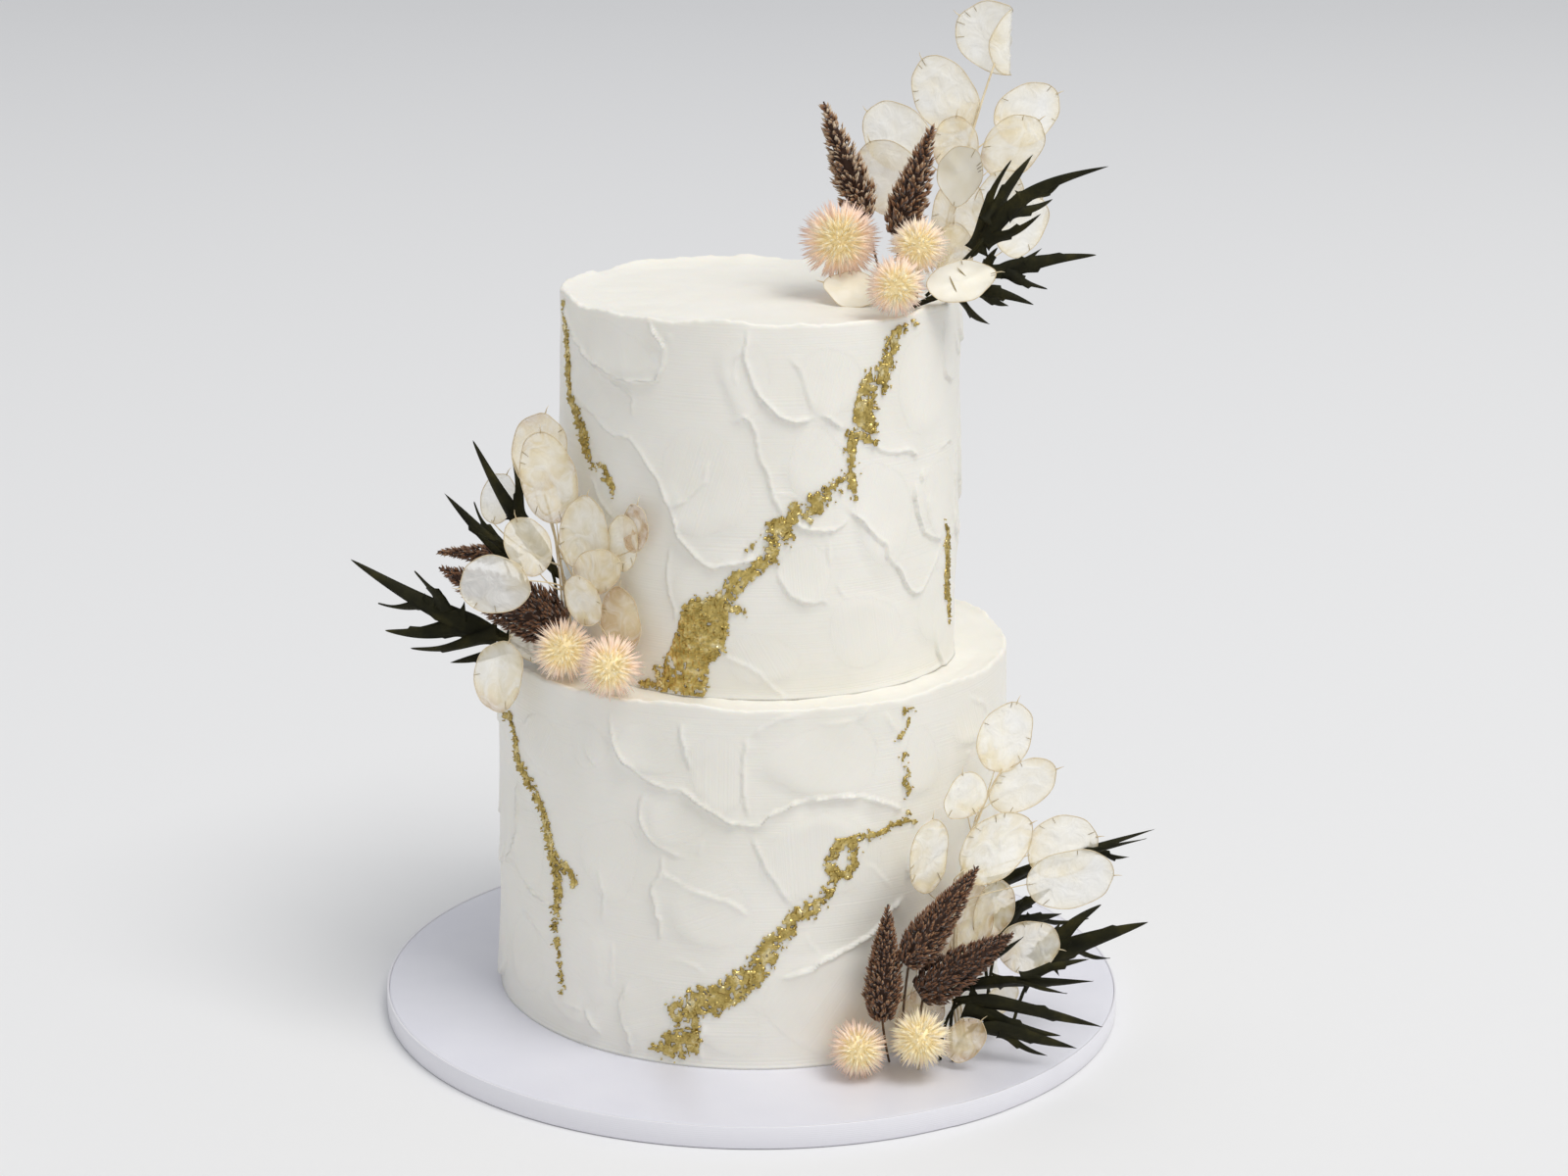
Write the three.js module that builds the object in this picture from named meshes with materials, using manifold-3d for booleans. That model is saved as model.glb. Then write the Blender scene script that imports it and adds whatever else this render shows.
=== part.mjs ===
// A two-tier wedding cake in palette-knife buttercream, standing on its round drum board, with
// veins of gold leaf and three sprays of dried flowers: seed pods, plumes, star globes and leaves.
// Millimetres, +Z up. The origin is the centre of the drum's underside and -Y is the front.
import * as THREE from 'three';
import { mergeVertices } from 'three/addons/utils/BufferGeometryUtils.js';
import Module from 'manifold-3d';

const wasm = await Module();
wasm.setup();

// Driving dimensions
const GAP = 0.3;
const DRUM_RADIUS = 152.4;
const DRUM_THICKNESS = 9;
const RIBBON_THICKNESS = 0.8;
const RIBBON_INSET = 0.4;
const TIER_SIDES = 40;
const DRUM_SIDES = 48;
const LIP_WIDTH = 3.2;
const LIP_RUN_OUT = 9;
const LIP_HEIGHT = 1.5;
const STROKE_SINK = 1.6;
const GOLD_PROUD = 1.5;
const POD_THICKNESS = 1;
const POD_CUP = 1.4;
const STEM_WIDTH = 1.6;
const STEM_DROP = 12;
const BLADE_THICKNESS = 1.2;
const BLADE_TWIST = 0.6;
const BLADE_BOW = 0.03;
const BLADE_WAVE = 0.8;

const BOTTOM = {
  x: -1, y: 5, shownRadius: 104.7, radius: 103.7, foot: DRUM_THICKNESS + GAP, top: 154.2, seed: 11,
};
const TOP = {
  x: 1.3, y: -1.1, shownRadius: 80.4, radius: 79.4, foot: BOTTOM.top + GAP, top: 298.4, seed: 23,
};
const ON_DRUM = DRUM_THICKNESS + 2 * GAP;
const ON_BOTTOM = BOTTOM.top + 2 * GAP;
const ON_TOP = TOP.top + 2 * GAP;

// Small tools

function seededRandom(seed) {
  let state = seed;
  return () => {
    state = (state * 16807) % 2147483647;
    return state / 2147483647;
  };
}

function vector([x, y, z]) {
  return new THREE.Vector3(x, y, z);
}

// A closed mesh of merged vertices, turned right side out.
function solidOf(points, faces) {
  const make = (list) => new wasm.Manifold(new wasm.Mesh({
    numProp: 3,
    vertProperties: new Float32Array(points.flatMap((point) => [point.x, point.y, point.z])),
    triVerts: new Uint32Array(list.flat()),
  }));
  const solid = make(faces);
  return solid.volume() < 0 ? make(faces.map(([a, b, c]) => [a, c, b])) : solid;
}

function solidOfGeometry(geometry) {
  const bare = geometry.clone();
  bare.deleteAttribute('normal');
  bare.deleteAttribute('uv');
  const merged = mergeVertices(bare, 1e-4);
  const position = merged.getAttribute('position');
  const points = [];
  for (let i = 0; i < position.count; i += 1) {
    points.push(new THREE.Vector3().fromBufferAttribute(position, i));
  }
  const faces = [];
  for (let i = 0; i < merged.index.count; i += 3) {
    const [a, b, c] = [0, 1, 2].map((corner) => merged.index.getX(i + corner));
    if (a !== b && b !== c && c !== a) faces.push([a, b, c]);
  }
  return solidOf(points, faces);
}

function join(solids) {
  return solids.slice(1).reduce((whole, next) => whole.add(next), solids[0]);
}

// Rings of equal length stacked into a closed body, with a point closing each end.
function stackRings(rings, startPoint, endPoint) {
  const count = rings[0].length;
  const points = [...rings.flat(), startPoint, endPoint];
  const start = points.length - 2;
  const end = points.length - 1;
  const faces = [];
  for (let side = 0; side < count; side += 1) {
    const next = (side + 1) % count;
    faces.push([start, next, side]);
    faces.push([end, (rings.length - 1) * count + side, (rings.length - 1) * count + next]);
    for (let ring = 0; ring + 1 < rings.length; ring += 1) {
      const near = ring * count;
      const far = near + count;
      faces.push([near + side, near + next, far + side]);
      faces.push([near + next, far + next, far + side]);
    }
  }
  return solidOf(points, faces);
}

// A thin three-sided stick along a curve.
function stick(from, through, to, width, steps = 2) {
  const corners = [90, 210, 330].map((turn) => {
    const angle = THREE.MathUtils.degToRad(turn);
    return new THREE.Vector2(Math.cos(angle), Math.sin(angle)).multiplyScalar(width / 2);
  });
  const curve = new THREE.QuadraticBezierCurve3(from, through, to);
  const settings = { steps, extrudePath: curve };
  return solidOfGeometry(new THREE.ExtrudeGeometry(new THREE.Shape(corners), settings));
}

// Buttercream tiers

// A place on a tier: s runs round the wall in mm from the front, z is height, out is off the wall.
function onTier(tier, s, z, out) {
  const angle = s / tier.shownRadius;
  const reach = tier.radius + out;
  return new THREE.Vector3(tier.x + reach * Math.sin(angle), tier.y - reach * Math.cos(angle), z);
}

function ragged(angle, seed) {
  return 0.5 + 0.2 * Math.sin(5 * angle + seed) + 0.17 * Math.sin(11 * angle + 2 * seed)
    + 0.13 * Math.sin(17 * angle + 3 * seed);
}

// The tier's body: a slightly uneven wall with the ragged lip that the knife leaves at the rim.
function tierCore(tier) {
  const profile = [
    [0, tier.foot], [tier.radius, tier.foot], [tier.radius, tier.top], [tier.radius - LIP_WIDTH, tier.top],
    [tier.radius - LIP_RUN_OUT, tier.top], [0, tier.top],
  ].map(([radius, height]) => new THREE.Vector2(radius, height));
  const lathe = new THREE.LatheGeometry(profile, TIER_SIDES);
  lathe.rotateX(Math.PI / 2);
  const position = lathe.getAttribute('position');
  for (let i = 0; i < position.count; i += 1) {
    const x = position.getX(i);
    const y = position.getY(i);
    const z = position.getZ(i);
    const reach = Math.hypot(x, y);
    const angle = Math.atan2(y, x);
    const lumpy = reach > tier.radius - LIP_WIDTH - 0.01 && z > tier.foot + 1;
    const push = lumpy ? 0.5 * Math.sin(3 * angle + tier.seed + z / 30) : 0;
    const scale = reach > 0 ? (reach + push) / reach : 1;
    const onLip = z > tier.top - 0.01 && lumpy;
    const fade = reach > tier.radius - 1 ? 1 : 0.45;
    const lip = onLip ? fade * LIP_HEIGHT * 2 * ragged(angle, tier.seed) : 0;
    position.setXYZ(i, tier.x + x * scale, tier.y + y * scale, z + lip);
  }
  return solidOfGeometry(lathe);
}

// One dab of the palette knife: a dished plate, feathered on one side, with a raised lip on the other.
// tilt leans its long axis to the right, and lipAt is where the lip lies, from the right, turning up.
function knifeStroke(tier, [s, z, across, along, tilt, lift, lipAt]) {
  const sides = 6;
  const lean = THREE.MathUtils.degToRad(tilt);
  const lipAngle = THREE.MathUtils.degToRad(lipAt);
  const lowest = tier.foot + 1.5;
  const highest = tier.top - 1.2;
  const place = (angle, scale, out) => {
    const wave = 1 + 0.08 * Math.sin(3 * angle + s);
    const u = across * scale * wave * Math.cos(angle);
    const v = along * scale * wave * Math.sin(angle);
    const height = z - u * Math.sin(lean) + v * Math.cos(lean);
    const over = Math.max(height - highest, 0);
    const under = Math.max(lowest - height, 0);
    const level = height - 0.97 * over + 0.97 * under;
    return onTier(tier, s + u * Math.cos(lean) + v * Math.sin(lean), level, out);
  };
  const ring = (scale, out) => Array.from({ length: sides }, (_, i) => {
    const angle = (i / sides) * 2 * Math.PI;
    const facing = Math.max(0, Math.cos(angle - lipAngle)) ** 1.2;
    return place(angle, scale, out(facing));
  });
  const rings = [ring(1, () => -STROKE_SINK), ring(1, (facing) => -0.3 + (lift + 0.5) * facing)];
  return stackRings(rings, place(0, 0, -STROKE_SINK - 0.8), place(0, 0, 0.6));
}

// Strokes for the part of the wall between two places: rows of seeded dabs, shingled over each other.
function scatteredStrokes(tier, fromS, toS) {
  const random = seededRandom(tier.seed);
  const strokes = [];
  const pitch = 60;
  for (let z = tier.foot + 36; z < tier.top - 8; z += 66) {
    for (let s = fromS + pitch * random(); s < toS; s += pitch) {
      strokes.push([
        s, z + 18 * (random() - 0.5), 25 + 8 * random(), 27 + 9 * random(),
        60 * (random() - 0.5), 1.2 + 1.2 * random(), 200 + 90 * random(),
      ]);
    }
  }
  return strokes;
}

// A vein of gold leaf pressed on the icing: a thin ragged crust along [s, z, width].
function goldVein(tier, path) {
  const random = seededRandom(tier.seed + path.length);
  const rings = path.map(([s, z, width], i) => {
    const [s0, z0] = path[Math.max(i - 1, 0)];
    const [s1, z1] = path[Math.min(i + 1, path.length - 1)];
    const run = Math.hypot(s1 - s0, z1 - z0);
    const across = [(z1 - z0) / run, -(s1 - s0) / run];
    const half = [width * (0.4 + 0.25 * random()), -width * (0.4 + 0.25 * random())];
    const level = (reach) => Math.max(z + across[1] * reach, tier.foot + GAP);
    const corner = (reach, out) => onTier(tier, s + across[0] * reach, level(reach), out);
    return [
      corner(half[0], -STROKE_SINK), corner(half[0], GOLD_PROUD - 0.4),
      corner(half[1], GOLD_PROUD - 0.4), corner(half[1], -STROKE_SINK),
    ];
  });
  const middle = (ring) => ring[0].clone().add(ring[2]).multiplyScalar(0.5);
  return stackRings(rings, middle(rings[0]), middle(rings[rings.length - 1]));
}

function tier(size, frontStrokes, veins, cutters) {
  const [first, last] = [size.shownRadius * 1.35, size.shownRadius * 4.9];
  const strokes = [...frontStrokes, ...scatteredStrokes(size, first, last)];
  const solids = [
    tierCore(size),
    ...strokes.map((stroke) => knifeStroke(size, stroke)),
    ...veins.map((path) => goldVein(size, path)),
  ];
  return cutters.reduce((whole, cutter) => whole.subtract(cutter), join(solids));
}

// The strokes that face the front: [s, z, half width, half height, tilt, lift of lip, place of lip]
const TOP_STROKES = [
  [-62, 286, 24, 12, 12, 2.2, 300], [-80, 268, 22, 11, 24, 1.6, 250],
  [-22, 238, 23, 27, -18, 2.4, 235], [-6, 280, 12, 19, -8, 1.6, 215],
  [27, 277, 16, 17, -15, 1.3, 240], [22, 246, 15, 19, -10, 1.3, 220],
  [76, 272, 25, 25, 10, 1.9, 250], [52, 224, 18, 27, -14, 1.9, 235],
  [18, 203, 14, 16, -10, 1.5, 265], [44, 178, 22, 18, 20, 1.3, 120],
  [-20, 196, 16, 18, 0, 1.4, 180], [88, 224, 17, 22, -12, 1.6, 230],
  [-64, 222, 20, 24, -20, 1.4, 200], [-70, 182, 24, 22, 10, 1.2, 260],
  [86, 180, 17, 20, -6, 1.3, 250], [2, 170, 18, 13, 0, 1.2, 300],
];
const BOTTOM_STROKES = [
  [-42, 137, 17, 13, 15, 2.2, 225], [-13, 130, 14, 20, -10, 1.9, 260],
  [30, 134, 29, 19, 0, 1.7, 225], [28, 95, 31, 22, 0, 2.4, 95],
  [-30, 109, 15, 12, 0, 1.5, 200], [-15, 75, 20, 23, -12, 1.9, 190],
  [-72, 42, 16, 24, 0, 1.7, 350], [-78, 26, 18, 12, 10, 1.8, 270],
  [30, 34, 30, 25, 15, 2.1, 70], [88, 86, 19, 22, -10, 2.6, 190],
  [-108, 82, 18, 21, 0, 2.3, 190], [-97, 128, 20, 15, 10, 1.7, 250],
  [-68, 134, 12, 12, 0, 1.7, 280], [104, 138, 18, 14, 0, 1.9, 290],
  [-8, 26, 17, 15, 0, 1.4, 180], [-58, 90, 18, 22, 12, 1.4, 250],
  [-42, 30, 14, 18, 0, 1.3, 200], [86, 36, 24, 24, -8, 1.6, 250],
  [-110, 36, 18, 22, 8, 1.6, 230], [72, 128, 12, 18, -6, 1.5, 240],
];

// The veins of gold leaf: [s, z, width]
const TOP_VEINS = [
  [[66, 296, 4], [53, 291, 5], [50, 272, 6], [42, 264, 7], [38, 244, 8], [30, 234, 9], [10, 222, 9],
    [-2, 206, 9], [-16, 188, 14], [-21, 179, 20], [-28, 157, 20]],
  [[-104, 280, 6], [-90, 259, 5], [-79, 243, 4], [-66, 234, 3], [-62, 229, 2]],
  [[95, 211, 3], [98, 192, 4], [99, 168, 3]],
  [[205, 292, 5], [220, 252, 6], [238, 232, 9], [258, 196, 4]],
];
const BOTTOM_VEINS = [
  [[-115, 133, 5], [-106, 112, 9], [-97, 98, 9], [-86, 82, 10], [-88, 60, 8], [-88, 44, 5], [-84, 28, 2]],
  [[69, 104, 3], [44, 102, 8], [33, 92, 12], [20, 72, 9], [0, 50, 10], [-20, 34, 13], [-28, 26, 12],
    [-29, 15, 13]],
  [[65, 150, 2], [62, 132, 2], [64, 109, 2]],
  [[262, 148, 6], [280, 112, 8], [300, 92, 10], [322, 52, 4]],
];

// Dried flowers

// A pod's own frame: z points to its tip, -y to the viewer. turn rolls the tip to the right.
function podPoint({ at, turn, yaw, lean }, x, y, z) {
  const point = new THREE.Vector3(x, y, z);
  point.applyAxisAngle(new THREE.Vector3(0, 1, 0), THREE.MathUtils.degToRad(turn));
  point.applyAxisAngle(new THREE.Vector3(1, 0, 0), THREE.MathUtils.degToRad(lean));
  point.applyAxisAngle(new THREE.Vector3(0, 0, 1), THREE.MathUtils.degToRad(yaw));
  return point.add(vector(at));
}

// A papery seed pod: a thin, slightly cupped oval lens with a wavy rim and a pointed tip.
function pod(shape) {
  const sides = 9;
  const rim = Array.from({ length: sides }, (_, i) => {
    const angle = (i / sides) * 2 * Math.PI;
    const tip = i === 0 ? 1.12 : 1;
    const x = 0.5 * shape.width * Math.sin(angle);
    const z = 0.5 * shape.length * Math.cos(angle) * tip;
    return podPoint(shape, x, 0.5 * Math.sin(2 * angle + shape.at[0]), z);
  });
  const front = podPoint(shape, 0, POD_CUP - POD_THICKNESS, 0);
  const back = podPoint(shape, 0, POD_CUP, 0);
  return stackRings([rim], front, back);
}

// A spray: pods on side stems that leave one main stem a little below each pod.
function spray({ root, through, crown, pods }) {
  const main = new THREE.QuadraticBezierCurve3(vector(root), vector(through), vector(crown));
  const solids = [stick(main.v0, main.v1, main.v2, STEM_WIDTH, 6)];
  pods.forEach((shape) => {
    const base = podPoint(shape, 0, 0, -0.44 * shape.length);
    const below = (base.z - STEM_DROP - root[2]) / (crown[2] - root[2]);
    const joint = main.getPoint(shape.joint ?? THREE.MathUtils.clamp(below, 0.04, 0.94));
    const bow = podPoint(shape, 0, 0, -0.9 * shape.length).lerp(joint, 0.4);
    solids.push(pod(shape), stick(joint, bow, base, STEM_WIDTH * 0.9));
  });
  return join(solids);
}

// A globe flower: a ball of pointed petals, one on each face of a divided icosahedron, on a pick.
function globe({ at, radius, foot }) {
  const centre = vector(at);
  const ball = solidOfGeometry(new THREE.IcosahedronGeometry(radius * 0.72, 1));
  const { vertProperties, triVerts } = ball.getMesh();
  const points = [];
  for (let i = 0; i < vertProperties.length; i += 3) {
    points.push(new THREE.Vector3(...vertProperties.slice(i, i + 3)).add(centre));
  }
  const faces = [];
  for (let i = 0; i < triVerts.length; i += 3) {
    const [a, b, c] = triVerts.slice(i, i + 3);
    const petal = points[a].clone().add(points[b]).add(points[c]).divideScalar(3).sub(centre);
    points.push(petal.setLength(radius * (1 - 0.1 * ((i / 3) % 3 === 0))).add(centre));
    const tip = points.length - 1;
    faces.push([a, b, tip], [b, c, tip], [c, a, tip]);
  }
  const head = solidOf(points, faces);
  if (foot === undefined) return head;
  const end = new THREE.Vector3(at[0], at[1], foot);
  return join([head, stick(centre, centre.clone().lerp(end, 0.5), end, 2.4)]);
}

// A bristly plume: rings of spikelets that lean towards the tip, on a stalk.
function plume({ from, to, width, stalk }) {
  const rows = 6;
  const around = 6;
  const base = vector(from);
  const axis = vector(to).sub(base);
  const side = new THREE.Vector3(0, 1, 0).cross(axis).normalize();
  const other = axis.clone().normalize().cross(side);
  const fullness = (t) => Math.sin(Math.PI * (0.1 + 0.82 * t ** 0.8)) * width / 2;
  const at = (t, turn, reach) => base.clone().addScaledVector(axis, t)
    .addScaledVector(side, reach * Math.cos(turn)).addScaledVector(other, reach * Math.sin(turn));
  const points = [];
  for (let row = 0; row < rows; row += 1) {
    for (let i = 0; i < around; i += 1) {
      const t = 0.03 + (0.9 * row) / (rows - 1);
      points.push(at(t, ((i + row / 2) / around) * 2 * Math.PI, 0.6 * fullness(t)));
    }
  }
  points.push(base.clone(), base.clone().add(axis));
  const [low, high] = [points.length - 2, points.length - 1];
  const faces = [];
  for (let i = 0; i < around; i += 1) {
    const next = (i + 1) % around;
    faces.push([low, next, i], [high, (rows - 1) * around + i, (rows - 1) * around + next]);
    for (let row = 0; row + 1 < rows; row += 1) {
      const [a, b] = [row * around + i, row * around + next];
      const [c, d] = [b + around, a + around];
      const t = 0.03 + (0.9 * (row + 1.1)) / (rows - 1);
      points.push(at(t, ((i + row / 2 + 0.75) / around) * 2 * Math.PI, fullness(Math.min(t, 1))));
      const tip = points.length - 1;
      faces.push([a, b, tip], [b, c, tip], [c, d, tip], [d, a, tip]);
    }
  }
  const head = solidOf(points, faces);
  const inside = base.clone().addScaledVector(axis, 0.12);
  return join([head, stick(inside, base.clone().addScaledVector(axis, -0.1), vector(stalk), STEM_WIDTH)]);
}

// The rib of a blade at t: where it runs, and which way its edge and its face look.
function ribAt(start, tip, t, bow) {
  const run = tip.clone().sub(start);
  const side = run.clone().cross(new THREE.Vector3(0, 1, 0)).normalize();
  side.applyAxisAngle(run.clone().normalize(), BLADE_TWIST * Math.sin(tip.x + tip.z));
  const face = side.clone().cross(run).normalize();
  const middle = start.clone().addScaledVector(run, t)
    .addScaledVector(side, bow * run.length() * Math.sin(Math.PI * t))
    .addScaledVector(face, BLADE_WAVE * Math.sin(6 * t));
  return { middle, side, face };
}

// One pointed blade of a leaf: a thin wavy strip with a raised midrib on both faces.
function blade(start, tip, width, bow) {
  const sections = [0.3, 0.65].map((t) => {
    const { middle, side, face } = ribAt(start, tip, t, bow);
    const half = 0.5 * width * Math.sin(Math.PI * t);
    const thick = 0.5 * BLADE_THICKNESS * (1 - 0.4 * t);
    const off = (a, b) => middle.clone().addScaledVector(side, a).addScaledVector(face, b);
    return [off(-half, 0.3 * half), off(0, -thick), off(half, 0.3 * half), off(0, thick)];
  });
  return stackRings(sections, start, tip);
}

// A cut-leaved frond: a main blade with side blades that leave it at t, and a stalk to the icing.
function frond({ root, tip, width, sides, stalk, bow = BLADE_BOW }) {
  const start = vector(root);
  const end = vector(tip);
  const solids = [blade(start, end, width, bow)];
  sides.forEach(([t, x, y, z, sideWidth]) => {
    const off = ribAt(start, end, t, bow).middle;
    solids.push(blade(off, new THREE.Vector3(x, y, z), sideWidth, BLADE_BOW));
  });
  const inside = ribAt(start, end, 0.14, bow).middle;
  solids.push(stick(inside, start.clone().lerp(end, -0.06), vector(stalk), STEM_WIDTH));
  return join(solids);
}

// Where the flowers stand. Sizes and places in mm, turns in degrees.
const SPRAYS = {
  top_pods: {
    root: [72, 6, ON_TOP], through: [78, 10, 345], crown: [94, 32, 386], pods: [
      { at: [90, 34, 395], length: 27, width: 23, turn: -50, yaw: -15, lean: 5 },
      { at: [74, 28, 373], length: 32, width: 24, turn: -35, yaw: -10, lean: -5 },
      { at: [55, 24, 357], length: 30, width: 25, turn: -55, yaw: -20, lean: -8 },
      { at: [107, 28, 366], length: 29, width: 23, turn: 60, yaw: 18, lean: -6 },
      { at: [101, 19, 354], length: 28, width: 23, turn: 45, yaw: 15, lean: 6 },
      { at: [78, 16, 355], length: 21, width: 18, turn: 0, yaw: 0, lean: 0 },
      { at: [79, -2, 345], length: 24, width: 18, turn: -5, yaw: 5, lean: 8 },
      { at: [52, 12, 342], length: 31, width: 26, turn: -30, yaw: -15, lean: 4 },
      { at: [79, 8, 328], length: 30, width: 21, turn: 10, yaw: 5, lean: -4 },
      { at: [95, 11, 334], length: 25, width: 18, turn: 30, yaw: 10, lean: 5 },
      { at: [105, 14, 323], length: 26, width: 20, turn: 40, yaw: 20, lean: -5 },
      { at: [77, 0, 315], length: 21, width: 16, turn: 0, yaw: 0, lean: 0 },
    ],
  },
  left_pods: {
    root: [-73, -44, ON_BOTTOM], through: [-73, -46, 195], crown: [-82, -47, 226], pods: [
      { at: [-84, -42, 242], length: 30, width: 24, turn: 10, yaw: -24, lean: 0 },
      { at: [-80, -50, 233], length: 36, width: 24, turn: -8, yaw: -20, lean: 5 },
      { at: [-66, -58, 213], length: 29, width: 22, turn: 5, yaw: -28, lean: 0 },
      { at: [-46, -71, 219], length: 19, width: 13, turn: 8, yaw: -42, lean: 0 },
      { at: [-51, -67, 212], length: 22, width: 16, turn: 10, yaw: -42, lean: 0 },
      { at: [-88, -54, 207], length: 23, width: 18, turn: -25, yaw: -10, lean: -8 },
      { at: [-100, -66, 195], length: 27, width: 24, turn: -100, yaw: -8, lean: 8 },
      { at: [-61, -64, 200], length: 23, width: 17, turn: 65, yaw: -34, lean: 0 },
      { at: [-66, -70, 190], length: 20, width: 16, turn: -20, yaw: -30, lean: 5, joint: 0.5 },
      { at: [-52, -67, 181], length: 26, width: 20, turn: 0, yaw: -38, lean: 0, joint: 0.7 },
      { at: [-103, -8, 215], length: 21, width: 15, turn: 20, yaw: -20, lean: 0 },
    ],
  },
  right_pods: {
    root: [84, -77, ON_DRUM], through: [70, -84, 80], crown: [97, -66, 122], pods: [
      { at: [98, -64, 134], length: 28, width: 23, turn: 18, yaw: 20, lean: 0 },
      { at: [106, -60, 113], length: 29, width: 21, turn: 68, yaw: 20, lean: 5 },
      { at: [82, -79, 115], length: 18, width: 21, turn: -10, yaw: 35, lean: 0 },
      { at: [95, -73, 92], length: 34, width: 26, turn: 66, yaw: 28, lean: -4 },
      { at: [122, -60, 88], length: 29, width: 25, turn: 80, yaw: 15, lean: -5 },
      { at: [125, -68, 77], length: 35, width: 26, turn: 88, yaw: 12, lean: 8 },
      { at: [68, -90, 94.5], length: 29, width: 20, turn: 5, yaw: 40, lean: 0 },
      { at: [83, -77, 61], length: 33, width: 29, turn: 30, yaw: 36, lean: 0 },
      { at: [95, -70, 65], length: 24, width: 19, turn: 10, yaw: 28, lean: 4 },
      { at: [109, -74, 51], length: 25, width: 22, turn: 100, yaw: 15, lean: 0 },
    ],
  },
};
const LOOSE_PODS = {
  top_loose_pod_1: { at: [78, -46, 311], length: 29, width: 16, turn: 80, yaw: 20, lean: -25 },
  top_loose_pod_2: { at: [36.5, -27, 304.4], length: 22, width: 19, turn: -75, yaw: 0, lean: -52 },
  left_loose_pod_1: { at: [-100, -56, 155], length: 28, width: 22, turn: 15, yaw: -30, lean: -6 },
  left_loose_pod_2: { at: [-86, -48, 167], length: 22, width: 16, turn: -70, yaw: -15, lean: -15 },
  right_loose_pod_1: { at: [66, -84, 24], length: 25, width: 23, turn: 20, yaw: 32, lean: 0 },
  right_loose_pod_2: { at: [83, -98, 21.5], length: 19, width: 14, turn: 35, yaw: -15, lean: -10 },
  right_loose_pod_3: { at: [59, -90, 44], length: 20, width: 11, turn: 10, yaw: 28, lean: 0 },
  right_loose_pod_4: { at: [99, -70, 27], length: 16, width: 10, turn: 60, yaw: 20, lean: -20 },
};
const GLOBES = {
  top_globe_1: { at: [32, -14, 321], radius: 15.7, foot: ON_TOP },
  top_globe_2: { at: [61, -45, 324], radius: 11.5, foot: ON_TOP + LIP_HEIGHT },
  top_globe_3: { at: [52, -61, 311.5], radius: 11.8 },
  left_globe_1: { at: [-74, -62, 168], radius: 12.6, foot: ON_BOTTOM + LIP_HEIGHT },
  left_globe_2: { at: [-55, -84, 168], radius: 12.7 },
  right_globe_1: { at: [41.2, -105.5, 20.9], radius: 11.7, foot: ON_DRUM },
  right_globe_2: { at: [65, -107, 26], radius: 12.1, foot: ON_DRUM },
};
const PLUMES = {
  top_plume_1: { from: [43, 6, 325], to: [25, -4, 375], width: 15, stalk: [50, 10, ON_TOP] },
  top_plume_2: { from: [56, -22, 323], to: [67, -22, 368], width: 14, stalk: [54, -24, ON_TOP] },
  left_plume_1: { from: [-97, -36, 199], to: [-126, -32, 199], width: 8, stalk: [-90, -30, ON_BOTTOM + LIP_HEIGHT] },
  left_plume_2: { from: [-78.5, -42.5, 176.5], to: [-125, -46, 197], width: 18, stalk: [-80, -42, ON_BOTTOM] },
  right_plume_1: { from: [50, -103, 32], to: [52, -98, 79], width: 13, stalk: [54, -92, ON_DRUM] },
  right_plume_2: { from: [59, -101, 53], to: [87, -88, 90], width: 13, stalk: [59, -92, ON_DRUM] },
  right_plume_3: { from: [67, -99, 41], to: [102, -92, 65], width: 15, stalk: [67, -89, ON_DRUM] },
};
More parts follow.
